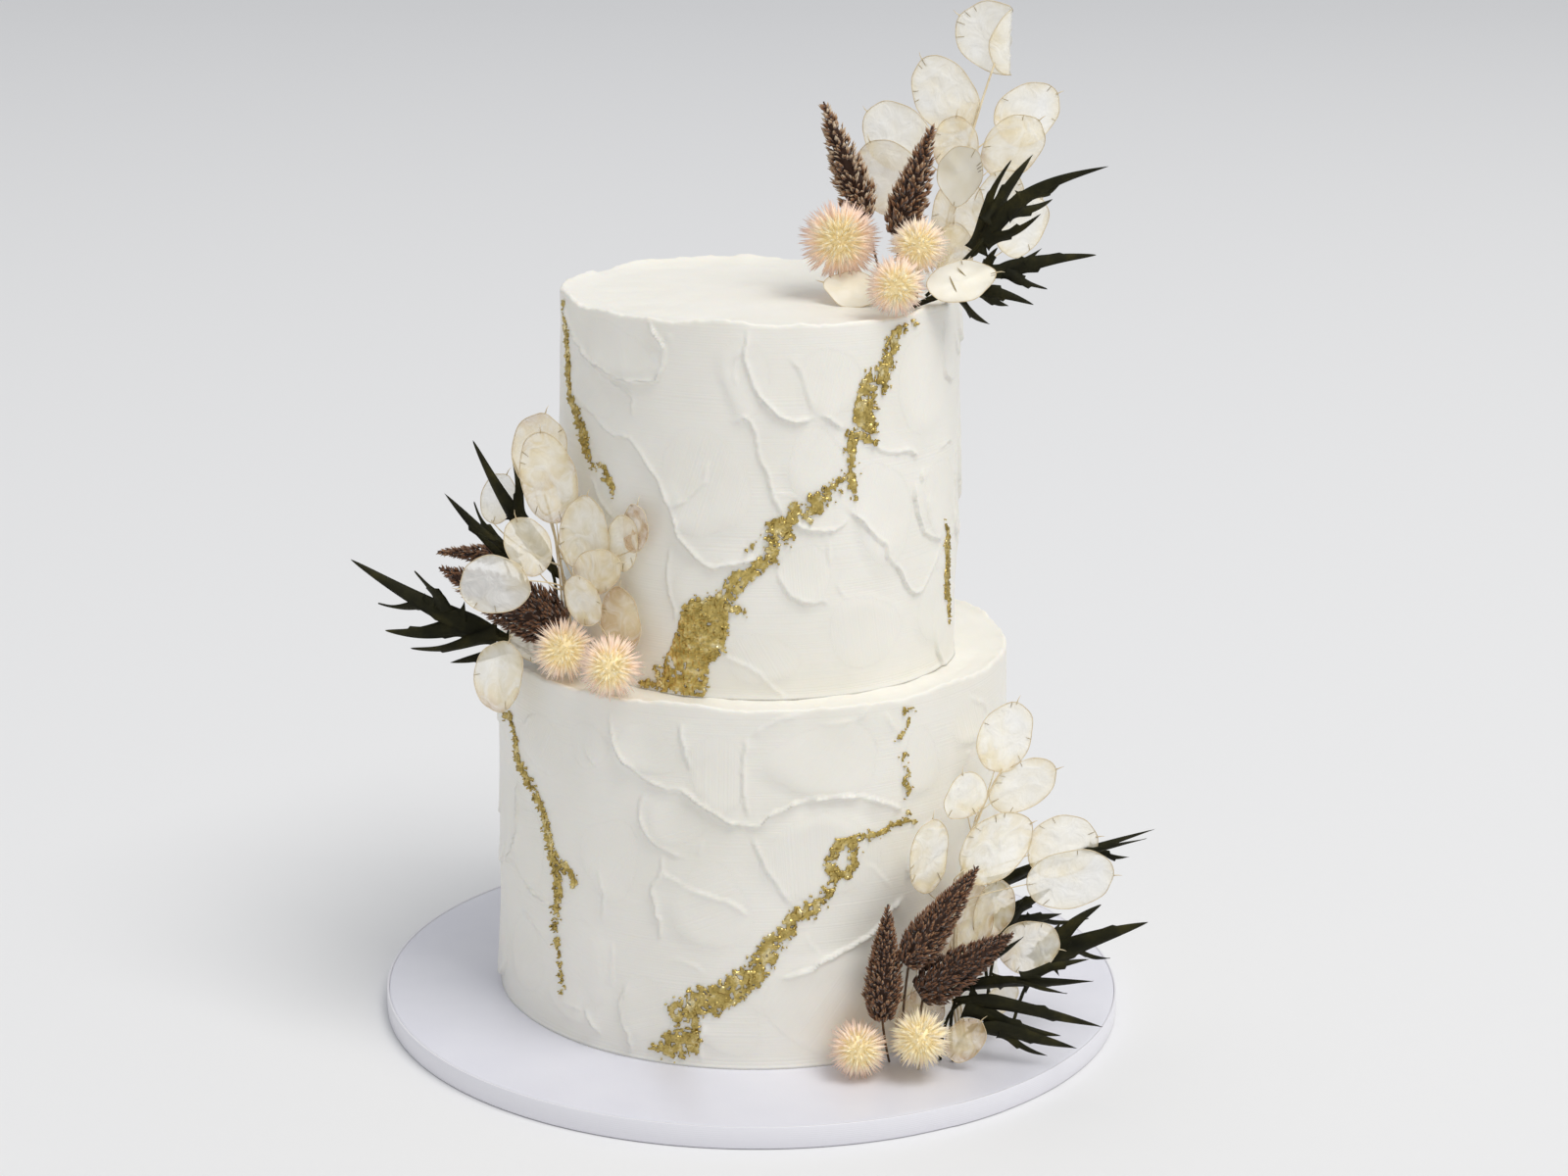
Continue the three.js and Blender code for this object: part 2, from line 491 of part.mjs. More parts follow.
const FRONDS = {
  top_frond_1: { root: [83, -12, 314], tip: [134, -30, 353], width: 7, stalk: [66, -12, ON_TOP], bow: 0.12,
    sides: [[0.05, 98, -14, 353, 5], [0.22, 107, -4, 354, 6], [0.45, 116, -24, 345, 4],
      [0.35, 115, -8, 337, 4], [0.12, 109, -26, 334, 4]] },
  top_frond_2: { root: [85, -30, 310], tip: [129, -44, 321], width: 7, stalk: [62, -29, ON_TOP],
    sides: [[0.1, 110, -22, 320, 4], [0.05, 92, -34, 322, 4], [0.25, 110, -52, 309, 4],
      [0.4, 115, -34, 320, 3]] },
  top_frond_3: { root: [82, -38, 307], tip: [105, -52, 303], width: 5, stalk: [60, -36, ON_TOP],
    sides: [[0.1, 97, -32, 299, 4], [-0.4, 88, -61, 297, 5]] },
  left_frond_1: { root: [-95, -38, 164], tip: [-161, -22, 193], width: 9, stalk: [-84, -36, ON_BOTTOM],
    sides: [[0.42, -133, -46, 195, 5], [0.5, -151, -18, 174, 5], [0.28, -147, -30, 166, 7],
      [0.1, -135, -48, 164, 6], [0.02, -121, -34, 154, 5]] },
  left_frond_2: { root: [-91, -42, 196], tip: [-120, -54, 228], width: 6, stalk: [-88, -20, ON_BOTTOM],
    sides: [[0.2, -110, -38, 221, 4], [0.1, -107, -56, 213, 4]] },
  left_frond_3: { root: [-77, -32, 188], tip: [-112, -18, 241], width: 8, stalk: [-82, -33, ON_BOTTOM],
    sides: [[0.45, -96, -28, 237, 4], [0.4, -99, -26, 216, 4]] },
  right_frond_1: { root: [91, -50, 63], tip: [163, -30, 85], width: 5, stalk: [98, -52, ON_DRUM],
    sides: [[0.06, 156, -58, 91, 6], [0.62, 151, -44, 78, 3]] },
  right_frond_2: { root: [112, -62, 38], tip: [156, -72, 61], width: 9, stalk: [104, -62, ON_DRUM],
    sides: [[0.1, 140, -48, 59, 7], [0.3, 143, -60, 41, 4], [0.05, 123, -57, 55, 6]] },
  right_frond_3: { root: [98, -54, 50], tip: [125, -40, 52], width: 8, stalk: [94, -54, ON_DRUM],
    sides: [[0.1, 119, -58, 70, 7], [0.4, 137, -32, 47, 4], [0.02, 108, -57, 65, 6]] },
  right_frond_4: { root: [79, -83, 36], tip: [133, -94, 45], width: 9, stalk: [79, -85, ON_DRUM],
    sides: [[0.08, 106, -83, 59, 6], [0.5, 132, -84, 50, 4], [0.3, 122, -102, 43, 5]] },
  right_frond_5: { root: [78, -88, 34], tip: [136, -104, 30], width: 8, stalk: [74, -90, ON_DRUM],
    sides: [[0.1, 121, -92, 21, 6]] },
  right_frond_6: { root: [84, -92, 24], tip: [127, -97, 18], width: 8, stalk: [79, -91, ON_DRUM],
    sides: [[0.3, 116, -93, 13, 3]] },
};

// Materials

function material(color, roughness, metalness = 0) {
  return new THREE.MeshStandardMaterial({ color, roughness, metalness });
}

const MATERIALS = {
  buttercream: () => material('#f1eee4', 0.55),
  board: () => material('#e6e6ec', 0.4),
  ribbon: () => material('#e9e8ee', 0.35),
  pods: () => material('#ded6c2', 0.5),
  globes: () => material('#f1cdb6', 0.8),
  plumes: () => material('#5a4345', 0.9),
  fronds: () => material('#24231b', 0.75),
};

// The object

const cake = new THREE.Group();

// A hollow that joining seals is filled and a loose scrap is dropped: only the largest body stays.
function addPiece(name, joined, finish) {
  const [solid] = joined.decompose().sort((a, b) => b.volume() - a.volume());
  const { vertProperties, triVerts } = solid.getMesh();
  const geometry = new THREE.BufferGeometry();
  geometry.setAttribute('position', new THREE.BufferAttribute(new Float32Array(vertProperties), 3));
  geometry.setIndex(new THREE.BufferAttribute(new Uint32Array(triVerts), 1));
  const facets = geometry.toNonIndexed();
  facets.computeVertexNormals();
  const mesh = new THREE.Mesh(facets, MATERIALS[finish]());
  mesh.name = name;
  cake.add(mesh);
}

function addEach(group, make, finish) {
  Object.entries(group).forEach(([name, shape]) => addPiece(name, make(shape), finish));
}

function ring(profile) {
  const lathe = new THREE.LatheGeometry(profile.map(([x, y]) => new THREE.Vector2(x, y)), DRUM_SIDES);
  return solidOfGeometry(lathe.rotateX(Math.PI / 2));
}

const boardRadius = DRUM_RADIUS - RIBBON_THICKNESS - GAP;
addPiece('cake_drum', ring([
  [0, 0], [boardRadius, 0], [boardRadius, DRUM_THICKNESS], [0, DRUM_THICKNESS],
]), 'board');

const ribbonInside = DRUM_RADIUS - RIBBON_THICKNESS;
const ribbonTop = DRUM_THICKNESS + 0.1;
addPiece('drum_ribbon', ring([
  [ribbonInside, RIBBON_INSET], [DRUM_RADIUS, RIBBON_INSET], [DRUM_RADIUS, ribbonTop],
  [ribbonInside, ribbonTop], [ribbonInside, RIBBON_INSET],
]), 'ribbon');

// A flower pressed on a rim leaves its own hollow in the icing.
function pressed({ at, radius }) {
  const ball = new THREE.IcosahedronGeometry(radius + GAP, 1);
  return solidOfGeometry(ball.translate(...at));
}

addPiece('bottom_tier', tier(BOTTOM, BOTTOM_STROKES, BOTTOM_VEINS, [pressed(GLOBES.left_globe_2)]),
  'buttercream');
addPiece('top_tier', tier(TOP, TOP_STROKES, TOP_VEINS, [pressed(GLOBES.top_globe_3)]), 'buttercream');
addEach(SPRAYS, spray, 'pods');
addEach(LOOSE_PODS, pod, 'pods');
addEach(GLOBES, globe, 'globes');
addEach(PLUMES, plume, 'plumes');
addEach(FRONDS, frond, 'fronds');

export default cake;
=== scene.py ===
import math

import bmesh
import bpy
import numpy as np
from mathutils import Matrix, Vector


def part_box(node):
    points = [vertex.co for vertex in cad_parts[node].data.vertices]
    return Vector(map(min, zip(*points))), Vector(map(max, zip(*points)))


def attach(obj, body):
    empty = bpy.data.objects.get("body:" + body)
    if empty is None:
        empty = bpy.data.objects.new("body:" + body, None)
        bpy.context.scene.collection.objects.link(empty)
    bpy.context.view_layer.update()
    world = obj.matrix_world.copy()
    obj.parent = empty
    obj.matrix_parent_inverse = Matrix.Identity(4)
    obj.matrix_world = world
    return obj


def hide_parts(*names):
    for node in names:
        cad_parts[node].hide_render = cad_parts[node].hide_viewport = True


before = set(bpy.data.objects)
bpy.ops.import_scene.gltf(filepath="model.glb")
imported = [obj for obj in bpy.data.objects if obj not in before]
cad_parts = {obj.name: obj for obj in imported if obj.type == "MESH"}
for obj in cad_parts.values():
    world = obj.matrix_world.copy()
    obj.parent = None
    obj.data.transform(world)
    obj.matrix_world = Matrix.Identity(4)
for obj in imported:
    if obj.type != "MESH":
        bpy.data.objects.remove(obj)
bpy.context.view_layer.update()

# A two-tier wedding cake in palette-knife buttercream on its round drum board, with veins of gold
# leaf and three sprays of dried flowers. Sizes are in millimetres until a mesh is made.
MM = 0.001

# Camera
# The photograph's view: a long lens a little above the cake, looking down 15 degrees.
# The frame is 1600 x 1200, so the whole 36 mm of the sensor lies across its width.
IMAGE_WIDTH = 1600
FOCAL_PIXELS = 3203.6
SENSOR_WIDTH = 36.0
CAMERA_PLACE = (0.0, -1230.4, 510.9)
CAMERA_TURN = (74.80, -0.578, -0.387)

camera_data = bpy.data.cameras.new("camera")
camera_data.sensor_fit = "HORIZONTAL"
camera_data.sensor_width = SENSOR_WIDTH
camera_data.lens = SENSOR_WIDTH * FOCAL_PIXELS / IMAGE_WIDTH
camera_data.clip_end = 200.0
camera = bpy.data.objects.new("camera", camera_data)
camera.location = Vector(CAMERA_PLACE) * MM
camera.rotation_euler = [math.radians(turn) for turn in CAMERA_TURN]
bpy.context.scene.collection.objects.link(camera)
bpy.context.scene.camera = camera


# Floor and light
# A wide pale floor of matt paint that fills the view, under one large soft light far off above and
# to the right, in a pale room that fills in the shade from all round.
def srgb(code):
    """An sRGB hex colour as the linear colour that a shader takes."""
    channels = [int(code[i:i + 2], 16) / 255 for i in (1, 3, 5)]
    linear = [c / 12.92 if c <= 0.04045 else ((c + 0.055) / 1.055) ** 2.4 for c in channels]
    return (*linear, 1.0)


def add_node(tree, kind, settings=None, links=None):
    """Add a node, set its options and its sockets by name, and link other nodes' outputs to it."""
    node = tree.nodes.new("ShaderNode" + kind)
    for key, value in (settings or {}).items():
        if key == "ramp":
            stops = node.color_ramp.elements
            while len(stops) < len(value):
                stops.new(1.0)
            for stop, (place, code) in zip(stops, value):
                stop.position = place
                stop.color = srgb(code)
        elif isinstance(key, int) or key in node.inputs:
            node.inputs[key].default_value = value
        else:
            setattr(node, key, value)
    for key, socket in (links or {}).items():
        tree.links.new(socket, node.inputs[key])
    return node


def new_material(name, values):
    """A material with one principled shader set to the values; gives it, its tree and the shader."""
    finish = bpy.data.materials.new(name)
    finish.use_nodes = True
    tree = finish.node_tree
    shader = tree.nodes["Principled BSDF"]
    for key, value in values.items():
        shader.inputs[key].default_value = value
    return finish, tree, shader


FLOOR_HALF_WIDTH = 30000.0

# Matt emulsion paint: no gloss, and a roller's stipple too faint to catch the light.
floor_paint, tree, shader = new_material("matt_emulsion_paint",
                                         {"Roughness": 0.9, "Specular IOR Level": 0.2})
stipple = add_node(tree, "TexNoise", {"Scale": 3.0, "Detail": 2.0})
paint = add_node(tree, "ValToRGB", {"ramp": [(0.3, "#e9e9ea"), (0.7, "#ececed")]},
                 {"Fac": stipple.outputs["Fac"]})
tree.links.new(paint.outputs["Color"], shader.inputs["Base Color"])

corners = [(-1, -1), (1, -1), (1, 1), (-1, 1)]
floor_mesh = bpy.data.meshes.new("floor")
floor_mesh.from_pydata([(x * FLOOR_HALF_WIDTH * MM, y * FLOOR_HALF_WIDTH * MM, 0.0) for x, y in corners],
                       [], [(0, 1, 2, 3)])
floor_mesh.materials.append(floor_paint)
floor = bpy.data.objects.new("floor", floor_mesh)
bpy.context.scene.collection.objects.link(floor)

room = bpy.data.worlds.new("pale_room")
room.use_nodes = True
room.node_tree.nodes["Background"].inputs["Color"].default_value = srgb("#f3f5f8")
room.node_tree.nodes["Background"].inputs["Strength"].default_value = 0.62
bpy.context.scene.world = room
bpy.context.scene.view_settings.view_transform = "Standard"


def soft_light(name, place, size, watts, code):
    """A square soft box at a place in mm that faces the middle of the cake."""
    lamp = bpy.data.lights.new(name, "AREA")
    lamp.shape = "SQUARE"
    lamp.size = size * MM
    lamp.energy = watts
    lamp.color = srgb(code)[:3]
    light = bpy.data.objects.new(name, lamp)
    light.location = Vector(place) * MM
    aim = Vector((0.0, 0.0, 0.2)) - light.location
    light.rotation_euler = aim.to_track_quat("-Z", "Y").to_euler()
    bpy.context.scene.collection.objects.link(light)


soft_light("key_light", (2600.0, -2300.0, 6600.0), 3800.0, 300.0, "#fffdf9")


# Drum board
# A round board 12 inches across, thick card wrapped in white satin foil paper that is glued down
# over its top and its rounded edge.
drum_low, drum_high = [np.array(corner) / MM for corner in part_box("cake_drum")]
ribbon_low, ribbon_high = [np.array(corner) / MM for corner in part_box("drum_ribbon")]
DRUM_RADIUS = (drum_high[0] - drum_low[0]) / 2
DRUM_TOP = drum_high[2]
DRUM_EDGE = 0.9
DRUM_COLUMNS = 256


def lumps(x, y, z, seed):
    """Smooth noise from -1 to 1 with one lump for each unit of length."""
    side = 32
    lattice = np.random.default_rng(seed).uniform(-1.0, 1.0, (side, side, side))
    cells = []
    shares = []
    for value in (x, y, z):
        low = np.floor(value).astype(int)
        part = value - low
        cells.append(((low % side), ((low + 1) % side)))
        shares.append(part * part * (3 - 2 * part))
    total = 0.0
    for i in (0, 1):
        for j in (0, 1):
            for k in (0, 1):
                weight = (shares[0] if i else 1 - shares[0]) * (shares[1] if j else 1 - shares[1])
                weight = weight * (shares[2] if k else 1 - shares[2])
                total = total + weight * lattice[cells[0][i], cells[1][j], cells[2][k]]
    return total


def wrapped_faces(rows, columns, closed_rows=False):
    """Quads over rows of points that each close on themselves."""
    row = np.arange(rows if closed_rows else rows - 1)[:, None]
    column = np.arange(columns)[None, :]
    after = (column + 1) % columns
    upper = (row + 1) % rows
    quads = np.stack([row * columns + column, row * columns + after,
                      upper * columns + after, upper * columns + column], axis=-1)
    return quads.reshape(-1, 4).tolist()


def capped_faces(rows, columns):
    """Quads over rows of points, and fans that shut both ends on the two points after them."""
    hub = rows * columns
    faces = wrapped_faces(rows, columns)
    for i in range(columns):
        after = (i + 1) % columns
        faces += [(hub, after, i), (hub + 1, hub - columns + i, hub - columns + after)]
    return faces


def make_piece(name, points, faces, finishes, picks=None, tones=None):
    """A closed, smooth mesh object from points in mm; picks gives each face its finish."""
    mesh = bpy.data.meshes.new(name)
    mesh.from_pydata((np.asarray(points, dtype=float) * MM).tolist(), [], faces)
    for finish in finishes:
        mesh.materials.append(finish)
    if picks is not None:
        mesh.polygons.foreach_set("material_index", np.asarray(picks, dtype=np.int32))
    for key, values in (tones or {}).items():
        attribute = mesh.attributes.new(key, "FLOAT", "POINT")
        attribute.data.foreach_set("value", np.asarray(values, dtype=np.float32))
    shape = bmesh.new()
    shape.from_mesh(mesh)
    bmesh.ops.recalc_face_normals(shape, faces=shape.faces)
    shape.to_mesh(mesh)
    shape.free()
    mesh.polygons.foreach_set("use_smooth", [True] * len(mesh.polygons))
    mesh.update()
    piece = bpy.data.objects.new(name, mesh)
    bpy.context.scene.collection.objects.link(piece)
    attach(piece, "root")
    return piece


def round_z(radius, turns, height):
    """Points round the z axis; a turn of 0 faces the front, and turns grow towards the right."""
    places = np.broadcast_arrays(radius * np.sin(turns), -radius * np.cos(turns), height)
    return np.stack(places, axis=-1)


def turned(profile, columns):
    """Points and faces of a closed body turned about the z axis from (radius, height) pairs."""
    turns = np.linspace(0, 2 * math.pi, columns, endpoint=False)
    rings = [round_z(radius, turns, height) for radius, height in profile]
    points = np.concatenate([*rings, [[0, 0, profile[0][1]], [0, 0, profile[-1][1]]]])
    return points, capped_faces(len(profile), columns)


def new_finish(name, values, tint, ramp, relief=None, bump=None):
    """A material with a ramp that colours its tint, and a bump, strength and height, over its relief.

    Tint and relief are each a noise, by its scale and detail, or a value of the mesh, by its name."""
    finish, tree, shader = new_material(name, values)

    def pattern(source):
        if isinstance(source, str):
            return add_node(tree, "Attribute", {"attribute_name": source}).outputs["Fac"]
        place = add_node(tree, "TexCoord")
        settings = dict(zip(("Scale", "Detail"), source))
        return add_node(tree, "TexNoise", settings, {"Vector": place.outputs["Object"]}).outputs["Fac"]

    colour = add_node(tree, "ValToRGB", {"ramp": ramp}, {"Fac": pattern(tint)}).outputs["Color"]
    tree.links.new(colour, shader.inputs["Base Color"])
    if "Emission Strength" in values:
        tree.links.new(colour, shader.inputs["Emission Color"])
    if relief:
        settings = dict(zip(("Strength", "Distance"), bump))
        raised = add_node(tree, "Bump", settings, {"Height": pattern(relief)})
        tree.links.new(raised.outputs["Normal"], shader.inputs["Normal"])
    return finish


# Satin foil paper: a soft broad sheen with a lilac cast, over the faint waves of the card below.
foil_paper = new_finish(
    "satin_foil_paper", {"Roughness": 0.36, "IOR": 1.48, "Coat Weight": 0.15, "Coat Roughness": 0.25},
    (18.0, 3.0), [(0.25, "#dcdce6"), (0.75, "#e6e6ee")], (900.0, 2.0), (0.12, 0.0003))

arc = [math.radians(turn) for turn in (0, 22, 45, 68, 90)]
board_profile = [(DRUM_RADIUS - 1.5, 0.0), (DRUM_RADIUS - 0.3, 0.0), (DRUM_RADIUS, 0.4)]
board_profile += [(DRUM_RADIUS - DRUM_EDGE + DRUM_EDGE * math.cos(a),
                   DRUM_TOP - DRUM_EDGE + DRUM_EDGE * math.sin(a)) for a in arc]
board_profile += [(radius, DRUM_TOP) for radius in np.linspace(DRUM_RADIUS - 3, 30, 24)]
board = make_piece("foil_drum_board", *turned(board_profile, DRUM_COLUMNS), [foil_paper])
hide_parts("cake_drum")

# Drum ribbon
# A white satin ribbon glued round the board's edge. Its end laps over its start at the right, where
# the cut edge shows as a short step.
RIBBON_LAP_AT = 31.0
RIBBON_LAP = 0.35
LAP_LENGTH = 9
RIBBON_COLUMNS = 300
ribbon_outside = (ribbon_high[0] - ribbon_low[0]) / 2
ribbon_inside = DRUM_RADIUS + 0.05

# Woven polyester satin: fine bright threads along the band, drawn 0.4 mm apart so that they show.
satin, tree, shader = new_material("polyester_satin_ribbon", {
    "Roughness": 0.34, "IOR": 1.52, "Sheen Weight": 0.2, "Base Color": srgb("#e9e8ee")})
place = add_node(tree, "TexCoord")
threads = add_node(tree, "TexWave", {"bands_direction": "Z", "Scale": 400.0, "Distortion": 0.6,
                                     "Detail": 1.0}, {"Vector": place.outputs["Object"]})
relief = add_node(tree, "Bump", {"Strength": 0.25, "Distance": 0.0001}, {"Height": threads.outputs["Fac"]})
tree.links.new(relief.outputs["Normal"], shader.inputs["Normal"])

turns = np.linspace(0, 2 * math.pi, RIBBON_COLUMNS, endpoint=False)
past_lap = (np.degrees(turns) - RIBBON_LAP_AT) % 360
outside = ribbon_outside - RIBBON_LAP * np.clip((past_lap - 352) / 1.5, 0, 1)
outside = np.where(past_lap < LAP_LENGTH, ribbon_outside, outside)
outside = np.where(past_lap >= LAP_LENGTH, np.minimum(outside, ribbon_outside - RIBBON_LAP * 0.6), outside)
bands = []
low, high = ribbon_low[2], ribbon_high[2]
for share, inward in ((0.0, 0.15), (0.03, 0.0), (0.5, 0.0), (0.97, 0.0), (1.0, 0.15)):
    bands.append(round_z(outside - inward, turns, low + share * (high - low)))
for height in (high, low):
    bands.append(round_z(ribbon_inside, turns, height))
ribbon = make_piece("satin_ribbon", np.concatenate(bands),
                    wrapped_faces(len(bands), RIBBON_COLUMNS, closed_rows=True), [satin])
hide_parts("drum_ribbon")

# Buttercream tiers
# Two round sponge cakes under buttercream that a palette knife laid on dab over dab: dished plates
# that feather out on one side and end in a thin raised lip on the other, up to a torn rim.
BOTTOM = {"x": -1.0, "y": 5.0, "shown": 104.7, "radius": 103.7, "foot": 9.02, "top": 154.2, "seed": 11}
TOP = {"x": 1.3, "y": -1.1, "shown": 80.4, "radius": 79.4, "foot": 154.0, "top": 298.4, "seed": 23}
LIP_HEIGHT = 1.5
LIP_SLOPE = 4.5
LIP_BEAD = 1.0
BACK_SOFTNESS = 2.6
OLD_ICING = 0.35
FRONT_REACH = 1.38
TOP_SUNK = 0.3

# The dabs that face the front: place round the wall and height, half width, half height, lean to
# the right, lift of the lip, and where the lip lies, from the right, turning up.
TOP_DABS = [
    (-62, 286, 24, 12, 12, 2.2, 300), (-80, 268, 22, 11, 24, 1.6, 250),
    (-22, 238, 23, 27, -18, 2.4, 235), (-6, 280, 12, 19, -8, 1.6, 215),
    (27, 277, 16, 17, -15, 1.3, 240), (22, 246, 15, 19, -10, 1.3, 220),
    (76, 272, 25, 25, 10, 1.9, 250), (52, 224, 18, 27, -14, 1.9, 235),
    (18, 203, 14, 16, -10, 1.5, 265), (44, 178, 22, 18, 20, 1.3, 120),
    (-20, 196, 16, 18, 0, 1.4, 180), (88, 224, 17, 22, -12, 1.6, 230),
    (-64, 222, 20, 24, -20, 1.4, 200), (-70, 182, 24, 22, 10, 1.2, 260),
    (86, 180, 17, 20, -6, 1.3, 250), (2, 170, 18, 13, 0, 1.2, 300),
]
BOTTOM_DABS = [
    (-42, 137, 17, 13, 15, 2.2, 225), (-13, 130, 14, 20, -10, 1.9, 260),
    (30, 134, 29, 19, 0, 1.7, 225), (28, 95, 31, 22, 0, 2.4, 95),
    (-30, 109, 15, 12, 0, 1.5, 200), (-15, 75, 20, 23, -12, 1.9, 190),
    (-72, 42, 16, 24, 0, 1.7, 350), (-78, 26, 18, 12, 10, 1.8, 270),
    (30, 34, 30, 25, 15, 2.1, 70), (88, 86, 19, 22, -10, 2.6, 190),
    (-108, 82, 18, 21, 0, 2.3, 190), (-97, 128, 20, 15, 10, 1.7, 250),
    (-68, 134, 12, 12, 0, 1.7, 280), (104, 138, 18, 14, 0, 1.9, 290),
    (-8, 26, 17, 15, 0, 1.4, 180), (-58, 90, 18, 22, 12, 1.4, 250),
    (-42, 30, 14, 18, 0, 1.3, 200), (86, 36, 24, 24, -8, 1.6, 250),
    (-110, 36, 18, 22, 8, 1.6, 230), (72, 128, 12, 18, -6, 1.5, 240),
]

# The lips where one dab ends and the next shows below it: height, and the line. The icing rises to
# the line from its right, ends in a thin bead and drops on its left. Softer ones lie half-way round.
TOP_LIPS = [
    (2.0, [(-45, 299), (-39, 292), (-37, 288), (-38, 282), (-41, 275.5), (-52, 274), (-62, 275),
           (-70, 277.5), (-80, 281), (-89, 286), (-97, 292), (-102, 297)]),
    (1.4, [(-52.5, 261), (-53, 264), (-52.5, 268), (-56, 270), (-62, 272), (-70, 275), (-76, 278),
           (-81, 280.5), (-87, 283.5), (-92, 287.5)]),
    (1.9, [(0, 211), (-1, 209.5), (-6, 208), (-12, 207), (-17.5, 205.5), (-21, 206.5), (-25, 209.5),
           (-29, 214), (-32.5, 217), (-33, 222), (-35, 227), (-37.5, 232), (-41, 238), (-45, 243),
           (-50, 248.5), (-54, 252), (-58, 252.5), (-62, 252), (-68, 254.5), (-75, 258), (-83, 260)]),
    (1.4, [(-62, 219), (-65, 221), (-71, 226), (-74, 231), (-79, 234)]),
    (1.4, [(9, 226.5), (7, 229.5), (5, 234), (3.5, 239), (2, 244), (0, 248), (-1, 252), (-2, 258),
           (-4, 262.5), (-6, 264.5), (-8.5, 263), (-11.5, 262)]),
    (1.5, [(21, 264), (18, 263), (13, 262.5), (9, 263.5), (6, 265.5), (2.5, 269), (-0.5, 272.5),
           (-3.5, 278), (-5.5, 284), (-6.5, 287), (-6, 291), (-5, 298)]),
    (0.7, [(-3, 293), (-6, 291), (-8.5, 287), (-9, 281), (-8, 276)]),
    (0.6, [(20, 266), (18, 272), (16.5, 278), (14, 283), (10, 287)]),
    (1.0, [(34, 258), (29, 261), (25, 264), (22, 265)]),
    (1.5, [(36, 225), (33, 221), (29, 219.5), (21, 220), (15, 222), (11, 226)]),
    (0.4, [(5, 236), (11, 235), (17, 233)]),
    (1.3, [(69.5, 241), (68, 244.5), (65, 246.5), (55, 247), (50, 248.5), (46, 251), (41, 251.5)]),
    (1.6, [(89, 206.5), (86, 208), (80, 209.5), (75, 212.5), (72, 217), (69.5, 222), (67.5, 228),
           (67.5, 234)]),
    (1.3, [(89, 204), (86, 200), (81, 195), (78, 192), (74, 189), (70, 188.5), (66, 191), (63, 195),
           (60, 200), (56, 204), (53, 207), (52, 212), (47, 215.5), (44, 219), (40, 223), (35, 227.5)]),
    (0.9, [(28, 190), (25, 192), (21, 191.5), (16, 193), (12, 195.5), (9, 200), (6, 206)]),
    (0.7, [(27, 206), (27, 212), (26.5, 218)]),
    (0.6, [(35, 191), (32, 196), (30, 200)]),
    (1.2, [(-33.5, 182), (-33.5, 188), (-35.5, 193), (-36.5, 198), (-36.5, 206), (-35, 214)]),
    (1.2, [(101, 269), (95, 269.5), (89, 272), (87, 279), (86.5, 288), (87.5, 294)]),
    (1.1, [(102, 244), (95, 245), (90, 244), (85, 243.5)]),
    (1.2, [(73, 232), (72, 236), (72, 239)]),
    (0.8, [(77, 219), (76.5, 224), (78, 228)]),
    (0.9, [(-19, 248), (-20, 244), (-20.5, 239), (-24, 235), (-29, 230.5), (-35, 228)]),
    (0.8, [(-14, 172), (-5, 168), (1, 165), (5, 160), (12, 154.5)]),
    (0.6, [(-38, 293), (-36, 294), (-34, 294.5)]),
    (1.0, [(112, 276), (104, 280), (99, 288)]),
    (1.0, [(104, 204), (108, 216), (105, 232), (110, 242)]),
]
